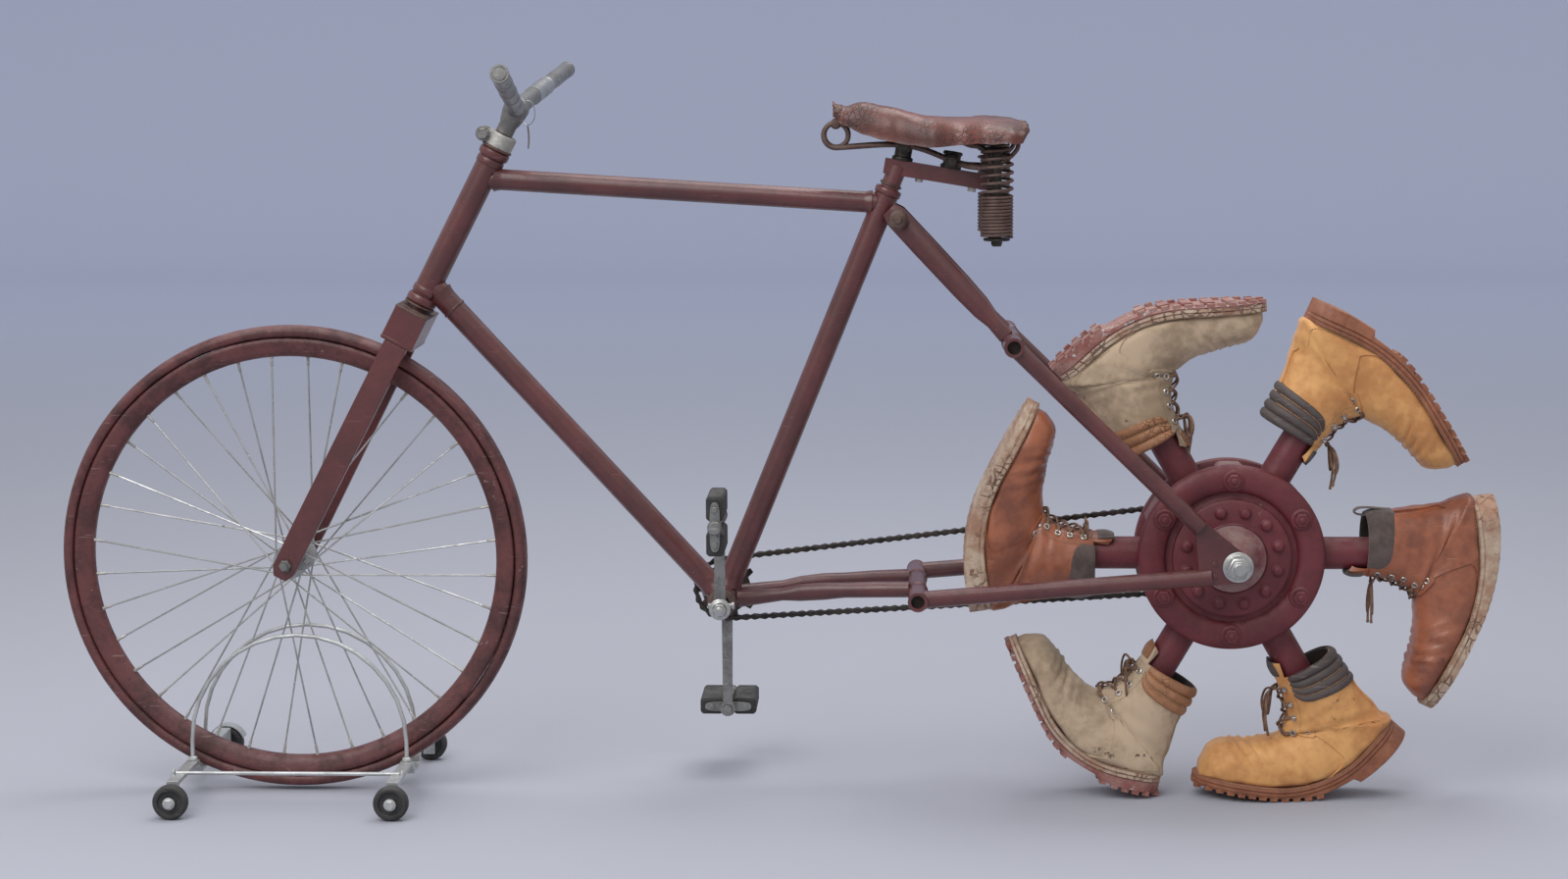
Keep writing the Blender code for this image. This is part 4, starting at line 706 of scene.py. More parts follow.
def make_front_wheel():
    sizes = setting("wheel")
    low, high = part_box("front_tyre")
    outer, half = (high.z - low.z) / 2, (high.y - low.y) / 2
    seam = outer - sizes.tyre_depth
    bm = bmesh.new()
    depth = sizes.tyre_depth / 2
    section = []
    for t in circle(20):
        tread = signed_power(math.cos(t), 0.8 if math.cos(t) > 0 else 0.45)
        section.append((outer - depth + depth * tread, half * math.sin(t)))
    lathe(bm, section, FRONT_AXLE, Y, 144, looped=True)
    piece("tyre", bm, [wheel_paint()], "front_wheel", ["front_tyre"], sharp=60)
    bm = bmesh.new()
    half = 0.0145
    inner = seam - sizes.rim_depth
    section = [(seam - 0.0004, -0.86), (seam - 0.0004, 0.86), (seam - 0.002, 0.98), (seam - 0.006, 1.0),
               (seam - 0.009, 0.94), (seam - 0.015, 0.86), (seam - 0.021, 0.68), (inner + 0.0008, 0.42)]
    section += [(inner, 0.25), (inner, -0.25)] + [(r, -y) for r, y in reversed(section[2:])]
    lathe(bm, [(r, y * half) for r, y in section], FRONT_AXLE, Y, 144, looped=True)
    piece("rim", bm, [wheel_paint()], "front_wheel", ["front_rim"], sharp=60)
    bm = bmesh.new()
    flange, out = sizes.flange_radius, sizes.flange_out
    halves = [(0.0105, 0.0), (0.0105, out - 0.008), (0.0135, out - 0.0045), (flange - 0.001, out - 0.003),
              (flange, out - 0.002), (flange, out + 0.0005), (flange - 0.001, out + 0.0015),
              (0.0150, out + 0.0015), (0.0140, out + 0.004), (0.0125, 0.043), (0.0075, 0.0455), (0, 0.0455)]
    lathe(bm, [(r, -y) for r, y in reversed(halves)] + halves[1:], FRONT_AXLE, Y, 40)
    piece("hub_barrel", bm, [bright_steel()], "front_wheel", ["front_hub"])
    spokes, nipples = bmesh.new(), bmesh.new()
    lace = math.radians(68)
    for side in (-1, 1):
        for i in range(sizes.spokes):
            turn = 2 * math.pi * (i + 0.25 * side) / sizes.spokes
            lean = lace if i % 2 else -lace
            face = out + (0.0024 if i % 2 else -0.0012)
            hole = around(turn + lean) * (flange - 0.0035)
            rim_at = around(turn) * inner
            start = FRONT_AXLE + hole + Y * side * (out - 0.001)
            bend = FRONT_AXLE + hole + Y * side * face
            end = FRONT_AXLE + rim_at + Y * side * 0.0030
            sweep(spokes, [start, bend, bend + (end - bend) * 0.02, end], sizes.spoke_radius, 8)
            lathe(spokes, [(0, -0.0012), (0.0022, -0.0008), (0.0022, 0.0004), (0, 0.0008)], bend, Y * side, 8)
            along = (bend - end).normalized()
            lathe(nipples, [(0.0026, -0.001), (0.0026, 0.002), (0.0019, 0.0025), (0.0019, 0.012),
                            (0.0012, 0.013), (0, 0.013)], end, along, 8)
    piece("spoke_wires", spokes, [bright_steel()], "front_wheel",
          ["spokes_left", "spokes_right"])
    piece("spoke_nipples", nipples, [dull_alloy()], "front_wheel")


def make_fork():
    dress(paint(), "fork_crown", "fork_blade_left", "fork_blade_right", bevel=0.0014)
    bm = bmesh.new()
    low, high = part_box("front_axle")
    half = (high.y - low.y) / 2
    sweep(bm, [FRONT_AXLE - Y * half, FRONT_AXLE + Y * half], 0.0044, 16)
    for side in (-1, 1):
        nut(bm, FRONT_AXLE + Y * side * (half - 0.0105), Y * side, 0.0082, 0.0070)
    piece("axle_and_nuts", bm, [worn_steel()], "fork", ["front_axle"])
    low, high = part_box("fork_crown")
    half = (high.y - low.y) / 2
    for name, material, at, reach, foot, top, proud in (
            ("crown_scraped_edge", rusty_steel(), 0.3755, 0.0228, -0.0012, 0.0010, 0.0004),
            ("crown_lower_edge", paint(), 0.3315, 0.0230, -0.0014, 0.0014, 0.0007)):
        bm = bmesh.new()
        prism(bm, [(-reach, foot), (reach, foot), (reach, top), (-reach, top)], on_head(at), FORE, HEAD,
              half + proud)
        piece(name, bm, [material], "fork", bevel=0.0006)


def make_handlebar():
    sizes = setting("bar")
    boss = on_head(sizes.boss_up)
    bm = bmesh.new()
    lathe(bm, [(0.0118, 0), (0.0118, 0.012), (0.0135, 0.016), (0.0150, 0.022), (0.0165, 0.030)],
          on_head(0.636), HEAD, 28)
    turns = [-1.35 + 2.7 * i / 12 for i in range(13)]
    lathe(bm, [(0, -0.0168)] + [(0.0172 * math.cos(t), 0.0172 * math.sin(t)) for t in turns] + [(0, 0.0168)],
          boss, Y, 28)
    for side in (-1, 1):
        tip = boss + Vector((sizes.sweep, side * sizes.half_span, sizes.rise))
        line, radii = [], []
        for i in range(25):
            share = i / 24
            grip = 0.0006 * max(0.0, math.sin((share - 0.45) * math.pi * 8)) if share > 0.45 else 0.0
            line.append(boss + (tip - boss) * share)
            radii.append(sizes.bar_radius * (1.16 - 0.18 * min(1, share * 5)) + grip)
        sweep(bm, line, radii, 28)
        along = (tip - boss).normalized()
        lathe(bm, [(0, 0.0017), (0.0075, 0.0017), (0.0080, 0.0006), (0.0088, 0.0006), (0.0090, 0.0014),
                   (0.0109, 0.0014), (0.0116, 0.0), (0.0116, -0.004), (0.0108, -0.005)], tip - along * 0.0005,
              along, 28)
    piece("v_handlebar", bm, [worn_steel()], "fork", ["handlebar"], sharp=45)
    bm = bmesh.new()
    tip = boss + Vector((sizes.sweep, sizes.half_span, sizes.rise))
    steps = 54
    path = [boss + (tip - boss) * (0.30 + 0.26 * i / steps) for i in range(steps + 1)]
    sweep(bm, path, [sizes.bar_radius + 0.0007 + 0.0006 * (i % 6 == 0) for i in range(steps + 1)], 24)
    piece("bar_wrap", bm, [bright_steel()], "fork", sharp=50)
    dress(dull_alloy(), "stem_collar", bevel=0.0008)
    bm = bmesh.new()
    bolt = on_head(0.624, 0.0235)
    for side in (-1, 1):
        outline = [(-0.012, -0.0075), (0.0060, -0.0075), (0.0085, -0.0035), (0.0085, 0.0035),
                   (0.0060, 0.0075), (-0.012, 0.0075)]
        prism(bm, outline, bolt - FORE * 0.002 + Y * side * 0.0075, FORE, HEAD, 0.0045)
    piece("collar_lugs", bm, [dull_alloy()], "fork", bevel=0.0009)
    bm = bmesh.new()
    nut(bm, bolt - Y * 0.0120, -Y, 0.0080, 0.0075, washer=0.0098)
    nut(bm, bolt + Y * 0.0120, Y, 0.0075, 0.0060, washer=0.0095)
    sweep(bm, [bolt - Y * 0.0215, bolt + Y * 0.0205], 0.0040, 14)
    piece("collar_bolt", bm, [worn_steel()], "fork")
    ring_at_boss = boss + Vector((0.010, 0.012, -0.004))
    bm = bmesh.new()
    loop = [ring_at_boss + Vector((0.010 * math.sin(t) + 0.003, 0.0, 0.016 * math.cos(t) - 0.002))
            for t in circle(28)]
    sweep(bm, loop, 0.0007, 8, looped=True)
    piece("tag_ring", bm, [bright_steel()], "fork")
    bm = bmesh.new()
    hang = ring_at_boss + Vector((0.003, 0.0, -0.019))
    rings = []
    for i in range(15):
        share = i / 14
        wide = 0.0052 * math.sin(math.pi * (0.10 + 0.86 * share)) ** 0.8
        bend = Vector((0.0015 * math.sin(share * 3), 0, -0.030 * share))
        rings.append([bm.verts.new(hang + bend + Y * y * wide + X * x * 0.0006)
                      for x, y in ((-1, -1), (-1, 1), (1, 1), (1, -1))])
    skin(bm, rings)
    piece("key_tag", bm, [grey_collar()], "fork")


# ---- frame

def ring_round(bm, centre, axis, radius, height, proud, mat=0):
    """A rounded band round a tube."""
    lathe(bm, [(radius - 0.0004, -height / 2), (radius + proud * 0.7, -height / 2 + height * 0.08),
               (radius + proud, -height / 4), (radius + proud, height / 4),
               (radius + proud * 0.7, height / 2 * 0.84),
               (radius - 0.0004, height / 2)], centre, axis, 32, mat)


def fillet(bm, centre, axis, radius, height, toward):
    """A smooth bead of braze where a tube meets another, thin away from the joint."""
    steps = 8
    lathe(bm, [(radius + 0.0028 * (1 - i / steps) ** 2, toward * height * i / steps)
               for i in range(steps + 1)], centre, axis, 32)


# where the tubes meet, up the steering axis and up the seat tube
TOP_AT_HEAD, DOWN_AT_HEAD, TOP_AT_SEAT = 0.5695, 0.4145, 0.567
HEAD_TUBE, SEAT_TUBE, DOWN_TUBE = 0.0172, 0.0158, 0.0155      # radii


def make_main_frame():
    dress(paint(), "head_tube", "top_tube", "down_tube", "seat_tube", "bottom_bracket_shell",
          "headset_cup_upper", "headset_cup_lower", bevel=0.0008)
    bm = bmesh.new()
    head_top, head_foot, seat_top = on_head(TOP_AT_HEAD), on_head(DOWN_AT_HEAD), on_seat(TOP_AT_SEAT)
    top_along = (seat_top - head_top).normalized()
    down_along = (CRANK - head_foot).normalized()
    fillet(bm, head_top + top_along * 0.0165, top_along, 0.0137, 0.014, 1)
    fillet(bm, seat_top - top_along * 0.0150, top_along, 0.0137, 0.013, -1)
    fillet(bm, head_foot + down_along * 0.0180, down_along, 0.0153, 0.016, 1)
    fillet(bm, CRANK - down_along * 0.0190, down_along, 0.0153, 0.014, -1)
    fillet(bm, on_seat(0.0190), SEAT, 0.0156, 0.014, 1)
    piece("brazed_joints", bm, [paint()], "frame", sharp=60)
    bm = bmesh.new()
    for at in (0.403, 0.594):
        ring_round(bm, on_head(at), HEAD, HEAD_TUBE, 0.010, 0.0014)
    ring_round(bm, on_seat(0.583), SEAT, SEAT_TUBE, 0.010, 0.0018)
    ring_round(bm, head_foot + down_along * 0.046, down_along, DOWN_TUBE, 0.004, 0.0010)
    piece("lug_bands", bm, [paint()], "frame", sharp=60)
    bm = bmesh.new()
    for at, rise in ((0.6145, 1), (0.3815, -1)):
        lathe(bm, [(0.0145, -0.002 * rise), (0.0205, -0.002 * rise), (0.0208, 0.0), (0.0195, 0.0015 * rise),
                   (0.0145, 0.0015 * rise)], on_head(at), HEAD, 32)
    piece("headset_rings", bm, [rusty_steel()], "frame")
    bm = bmesh.new()
    for side in (-1, 1):
        lathe(bm, [(0.0095, 0), (0.0170, 0), (0.0185, 0.0015), (0.0185, 0.0045), (0.0160, 0.006),
                   (0.0100, 0.0065)], CRANK + Y * side * 0.0365, Y * side, 32)
    piece("bearing_cups", bm, [rusty_steel()], "frame")


# from the rear axle to the two cross tubes, and half of their length
LOWER_CROSS = Vector((-0.412, 0, -0.0450))
UPPER_CROSS = Vector((-0.290, 0, 0.2850))
CROSS_HALF = 0.1195
DROPOUT_FACE = 0.1072      # from the middle to the washer on a dropout


def make_rear_frame():
    dress(paint(), "chain_stays", "seat_stay_arms", "pivot_bolt", "seat_stay_left", "seat_stay_right",
          "rear_stay_left", "rear_stay_right", bevel=0.0008)
    pivot = middle("pivot_bolt")
    lower, upper = REAR_AXLE + LOWER_CROSS, REAR_AXLE + UPPER_CROSS
    bm = bmesh.new()
    for side in (-1, 1):
        for centre in (lower, upper):
            end = centre + Y * side * CROSS_HALF
            lathe(bm, [(0.0089, -0.001), (0.0126, -0.001), (0.0131, 0.0002), (0.0126, 0.0012),
                       (0.0089, 0.0008)], end, Y * side, 32)
        for i in range(3):
            at = side * (0.050 + 0.0006 * i)
            lathe(bm, [(0.0124, -0.002), (0.0140 - 0.0004 * i, 0.0), (0.0124, 0.002)], upper + Y * at, Y, 28)
        lathe(bm, [(0.0124, -0.004), (0.0142, -0.001), (0.0142, 0.001), (0.0124, 0.004)],
              lower + Y * side * 0.046, Y, 28)
    piece("tube_ends", bm, [paint()], "frame", sharp=60)
    # A near-black cup inside each cross tube's end: painted shade in the bore.
    bm = bmesh.new()
    for side in (-1, 1):
        for centre in (lower, upper):
            lathe(bm, [(0, -0.012), (0.0087, -0.012), (0.0087, -0.006)], centre + Y * side * CROSS_HALF,
                  Y * side, 24)
    piece("painted_shade_tube_bores", bm, [lining_and_painted_shade()], "frame")
    bm = bmesh.new()
    strap = [upper + Vector((0.010, 0, -0.012)), upper + Vector((0.026, 0, -0.030))]
    for side in (-1, 1):
        shift = Y * side * 0.0925
        sweep(bm, [strap[0] + shift, strap[1] + shift], 0.0075, 12, flat=0.35, up=Y)
    piece("stay_straps", bm, [paint()], "frame")
    bm = bmesh.new()
    for side in (-1, 1):
        face = pivot + Y * side * 0.0385
        lathe(bm, [(0, 0.0), (0.0128, 0.0), (0.0135, 0.001), (0.0118, 0.0036), (0.0085, 0.0050), (0, 0.0052)],
              face, Y * side, 32)
        nut(bm, face + Y * side * 0.0045, Y * side, 0.0052, 0.0035)
    piece("pivot_washers", bm, [rusty_steel()], "frame")
    bm = bmesh.new()
    for side in (-1, 1):
        face = REAR_AXLE + Y * side * 0.1075
        for dx, dz in ((-0.030, -0.012), (-0.030, 0.004)):
            nut(bm, face + Vector((dx, 0, dz)), Y * side, 0.0034, 0.0018, sides=16)
    piece("dropout_rivets", bm, [paint()], "frame")
    bm = bmesh.new()
    sweep(bm, [REAR_AXLE - Y * 0.133, REAR_AXLE + Y * 0.133], 0.0079, 24)
    for side in (-1, 1):
        seat = REAR_AXLE + Y * side * DROPOUT_FACE
        lathe(bm, [(0, 0), (0.0192, 0), (0.0200, 0.0008), (0.0200, 0.0030), (0.0192, 0.0036), (0, 0.0036)],
              seat, Y * side, 40)
        lathe(bm, [(0, 0.0036), (0.0164, 0.0036), (0.0168, 0.0044), (0.0162, 0.0062), (0, 0.0062)], seat,
              Y * side, 40)
        nut(bm, seat + Y * side * 0.0062, Y * side, 0.0152, 0.0085)
        nut(bm, seat + Y * side * 0.0150, Y * side, 0.0118, 0.0050)
        for i in range(4):
            lathe(bm, [(0.0078, 0), (0.0086, 0.0006), (0.0078, 0.0012)],
                  seat + Y * side * (0.0203 + 0.0013 * i), Y * side, 24)
    piece("rear_axle_and_nuts", bm, [bright_steel()], "frame", ["rear_axle"], bevel=0.0004)


# ---- drive

def sprocket_radius(teeth):
    return setting("drive").pitch / 2 / math.sin(math.pi / teeth)


def chain_path():
    """The chain's line round both sprockets, as a function of the distance along it."""
    sizes = setting("drive")
    small, large = sprocket_radius(sizes.front_teeth), sprocket_radius(sizes.rear_teeth)
    span = REAR_AXLE - CRANK
    tilt = math.atan2(span.z, span.x)
    spread = math.asin((large - small) / span.length)
    straight = math.sqrt(span.length ** 2 - (large - small) ** 2)
    front_arc, rear_arc = (math.pi - 2 * spread) * small, (math.pi + 2 * spread) * large
    total = 2 * straight + front_arc + rear_arc

    def arc(centre, radius, turn):
        return centre + around(turn) * radius

    def at(distance):
        distance %= total
        if distance < front_arc:
            return arc(CRANK, small, tilt + math.pi / 2 + spread + distance / small)
        distance -= front_arc
        start = arc(CRANK, small, tilt + 3 * math.pi / 2 - spread)
        end = arc(REAR_AXLE, large, tilt - math.pi / 2 - spread)
        if distance < straight:
            return start + (end - start) * (distance / straight)
        distance -= straight
        if distance < rear_arc:
            return arc(REAR_AXLE, large, tilt - math.pi / 2 - spread + distance / large)
        distance -= rear_arc
        start = arc(REAR_AXLE, large, tilt + math.pi / 2 + spread)
        end = arc(CRANK, small, tilt + math.pi / 2 + spread)
        return start + (end - start) * (distance / straight)
    return at, total


BLOCK_SHARE = 0.44      # of the pitch that a solid block takes


def make_chain():
    """A block chain: a solid block, then two side plates to the next block."""
    at, total = chain_path()
    count = round(total / setting("drive").pitch)
    pitch = total / count
    plane = Y * middle("chain").y
    blocks, plates = bmesh.new(), bmesh.new()
    for i in range(count):
        first, second = at(pitch * i), at(pitch * (i + BLOCK_SHARE))
        third = at(pitch * (i + 1))
        for start, end, bm, offsets, half, tall in (
                (first, second, blocks, (0,), 0.0032, 0.0043),
                (second, third, plates, (-0.0046, 0.0046), 0.0010, 0.0040)):
            along = (end - start).normalized()
            up = Vector((-along.z, 0, along.x))
            reach = (end - start).length / 2
            outline = []
            for side in (1, -1):
                outline.append((0.0, -side * tall * 0.50))
                for k in range(9):
                    turn = -math.pi * 0.62 + math.pi * 1.24 * k / 8
                    outline.append((side * (reach + math.cos(turn) * tall * 0.92),
                                    side * math.sin(turn) * tall * 0.92))
            for offset in offsets:
                prism(bm, outline, (start + end) / 2 + plane + Y * offset, along, up, half)
        for place in (first, second):
            lathe(plates, [(0, -0.0062), (0.0016, -0.0060), (0.0020, -0.0054), (0.0020, 0.0054),
                           (0.0016, 0.0060), (0, 0.0062)], place + plane, Y, 10)
    piece("chain_blocks", blocks, [oily_steel()], "frame", ["chain"], bevel=0.0004)
    piece("chain_plates", plates, [oily_steel()], "frame", bevel=0.0003)
    dress(oily_steel(), "chainring", "rear_sprocket", bevel=0.0005)


CRANK_FACE, CRANK_PIN = 0.0845, 0.0795      # from the middle to a crank's face and its cotter pin


def make_cranks():
    dress(worn_steel(), "crank_left", "crank_right", bevel=0.0016)
    bm = bmesh.new()
    for side in (-1, 1):
        out = CRANK + Y * side * CRANK_FACE
        lathe(bm, [(0, 0.0), (0.0136, 0.0), (0.0142, 0.0008), (0.0142, 0.0022), (0.0130, 0.0030),
                   (0, 0.0030)], out, Y * side, 36)
        nut(bm, out + Y * side * 0.0030, Y * side, 0.0092, 0.0055)
        lathe(bm, [(0, 0.0085), (0.0050, 0.0085), (0.0052, 0.0098), (0.0040, 0.0108), (0, 0.0110)], out,
              Y * side, 20)
        pin = CRANK + Y * side * CRANK_PIN
        sweep(bm, [pin - X * 0.0155 + Z * 0.004, pin + X * 0.0155 + Z * 0.004], 0.0032, 14)
        nut(bm, pin + X * 0.0155 + Z * 0.004, X, 0.0048, 0.0035)
    piece("crank_nuts", bm, [bright_steel()], "crankset", bevel=0.0004)
    for side, label in ((-1, "left"), (1, "right")):
        make_pedal(side, label)


PEDAL_SPREAD = 0.0228      # from a pedal's axis to the middle of a rubber block


def make_pedal(side, label):
    body = "pedal_" + label
    eye = joint_place("pedal_%s_spin" % label)
    eye.y = 0
    along, across = (Z, X) if side < 0 else (X, Z)
    start, end = 0.0865, 0.1765
    centre_y = side * (start + end) / 2
    bm = bmesh.new()
    half_long, half_tall, corner, inset, ribs = 0.0157, 0.0115, 0.0035, 0.002, 7
    quarter = ((1, 1), (-1, 1), (-1, -1), (1, -1))
    outline = []
    for i, (a, b) in enumerate(quarter):
        ends = [(a * (half_long - corner), b * half_tall), (a * half_long, b * (half_tall - corner))]
        outline += ends if i % 2 else ends[::-1]
    core = [(a * (half_long - inset), b * (half_tall - inset)) for a, b in quarter]
    for sign in (-1, 1):
        centre = eye + along * sign * PEDAL_SPREAD + Y * centre_y
        for i in range(ribs):
            prism(bm, outline, centre + Y * ((i + 0.5) / ribs - 0.5) * 0.082, along, across, 0.0047)
        prism(bm, core, centre, along, across, 0.0405)
    piece("tread_blocks_" + label, bm, [black_rubber()], body, [body], bevel=0.0010)
    bm = bmesh.new()
    for y_at in (start + 0.001, end - 0.001):
        outline = [(0.0320 * signed_power(math.cos(t), 0.6), 0.0066 * signed_power(math.sin(t), 0.6))
                   for t in circle(24)]
        prism(bm, outline, eye + Y * side * y_at, along, across, 0.0012)
    for sign in (-1, 1):
        rod = eye + along * sign * PEDAL_SPREAD
        for y_at, face, height in ((start, -1, 0.0008), (end, 1, 0.0028)):
            nut(bm, rod + Y * side * (y_at + face * 0.0010), Y * side * face, 0.0042, height)
        sweep(bm, [rod + Y * side * start, rod + Y * side * end], 0.0028, 10)
    lathe(bm, [(0, 0.070), (0.0055, 0.070), (0.0055, 0.0850), (0.0088, 0.0855), (0.0092, 0.0885),
               (0.0078, 0.0900),
               (0.0062, 0.0920), (0.0060, 0.130), (0.0064, 0.168), (0.0085, 0.172), (0.0095, 0.178),
               (0.0092, 0.183), (0.0075, 0.1855), (0, 0.1862)], eye, Y * side, 28)
    piece("pedal_cage_" + label, bm, [worn_steel()], body, bevel=0.0004)


# ---- hub of the boot wheel

def make_hub():
    sizes = setting("hub")
    low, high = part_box("hub_plate_left")
    radius = (high.x - low.x) / 2
    tip = -low.y
    outer, inner = sizes.face_out, sizes.face_in
    for side, label in ((-1, "left"), (1, "right")):
        bm = bmesh.new()
        ring_middle = (radius + sizes.groove_radius) / 2
        half_ring = (radius - sizes.groove_radius) / 2
        crown = [(ring_middle + half_ring * math.cos(t), outer - 0.0085 + 0.0085 * math.sin(t))
                 for t in (math.pi * i / 14 for i in range(15))]
        disc, boss = sizes.disc_radius, sizes.boss_radius
        profile = [(0.012, inner), (radius - 0.005, inner), (radius - 0.001, inner + 0.002),
                   (radius, inner + 0.006)]
        profile += crown
        profile += [(sizes.groove_radius - 0.001, outer - 0.0115), (disc + 0.003, outer - 0.0115),
                    (disc, outer - 0.010), (disc - 0.001, outer - 0.003), (disc - 0.004, outer - 0.0012),
                    (boss + 0.012, outer - 0.0006), (boss + 0.010, outer + 0.0016)]
        lathe(bm, profile, REAR_AXLE, Y * side, 112)
        piece("hub_face_" + label, bm, [hub_paint()], "rear_wheel", ["hub_plate_" + label])
        bm = bmesh.new()
        lathe(bm, [(boss + 0.010, outer - 0.004), (boss + 0.009, outer + 0.0035),
                   (boss + 0.004, outer + 0.0055),
                   (boss - 0.001, outer + 0.0080), (boss - 0.006, outer + 0.0170),
                   (boss - 0.012, outer + 0.030),
                   (0.0205, tip - 0.010), (0.0190, tip - 0.002), (0.0175, tip), (0.0084, tip)], REAR_AXLE,
              Y * side, 72)
        piece("hub_cone_" + label, bm, [boss_paint()], "rear_wheel")
        bm = bmesh.new()
        for i in range(6):
            at = REAR_AXLE + around(math.pi / 6 + math.pi * i / 3) * sizes.ring_circle
            lathe(bm, [(0, -0.006), (0.0150, -0.006), (0.0145, 0.0012), (0.0120, 0.0032), (0, 0.0032)],
                  at + Y * side * (outer - 0.001), Y * side, 32)
            nut(bm, at + Y * side * (outer + 0.0018), Y * side, 0.0100, 0.0066)
            lathe(bm, [(0, 0), (0.0046, 0), (0.0044, 0.0018), (0.0030, 0.0026), (0, 0.0028)],
                  at + Y * side * (outer + 0.0080), Y * side, 20)
        for i in range(12):
            at = REAR_AXLE + around(math.pi / 12 + math.pi * i / 6) * sizes.disc_circle
            lathe(bm, [(0, -0.003), (0.0090, -0.003), (0.0087, 0.0014), (0.0074, 0.0022), (0, 0.0022)],
                  at + Y * side * (outer - 0.0014), Y * side, 24)
            lathe(bm, [(0.0070, -0.001), (0.0072, 0.0022), (0.0062, 0.0042), (0.0040, 0.0055), (0, 0.0060)],
                  at + Y * side * outer, Y * side, 12)
        piece("hub_bolts_" + label, bm, [hub_paint()], "rear_wheel", bevel=0.0006)
    bm = bmesh.new()
    for i in range(6):
        out = around(math.pi / 6 + math.pi * i / 3)
        prism(bm, [(-0.019, -0.017), (0.019, -0.017), (0.019, 0.012), (0.013, 0.017), (-0.013, 0.017),
                   (-0.019, 0.012)], REAR_AXLE + out * sizes.ring_circle, out.cross(Y), out, inner)
    piece("hub_spacer_blocks", bm, [boss_paint()], "rear_wheel", bevel=0.0015)
    dress(hub_paint(), "leg_spider", bevel=0.0008)


# ---- boots

# letter and style, then the leg's angle, the heel's tilt and the toe's flex in degrees
BOOTS = (
    ("a", "suede", 120, 13, 27),
    ("b", "nubuck", 60, 6, 28),
    ("c", "oiled", 0, 7, 26),
    ("d", "nubuck", -60, 19, 37),
    ("e", "suede", -120, 18, 36),
    ("f", "oiled", 180, 9, 28),
)
# leather, collar material, and the collar's rolls, depth down the shaft and thickness
STYLES = {
    "suede": (suede, tan_collar, 3, 1.20, 0.0040),
    "nubuck": (nubuck, dark_collar, 4, 1.50, 0.0036),
    "oiled": (oiled_leather, grey_collar, 1, 1.05, 0.0034),
}

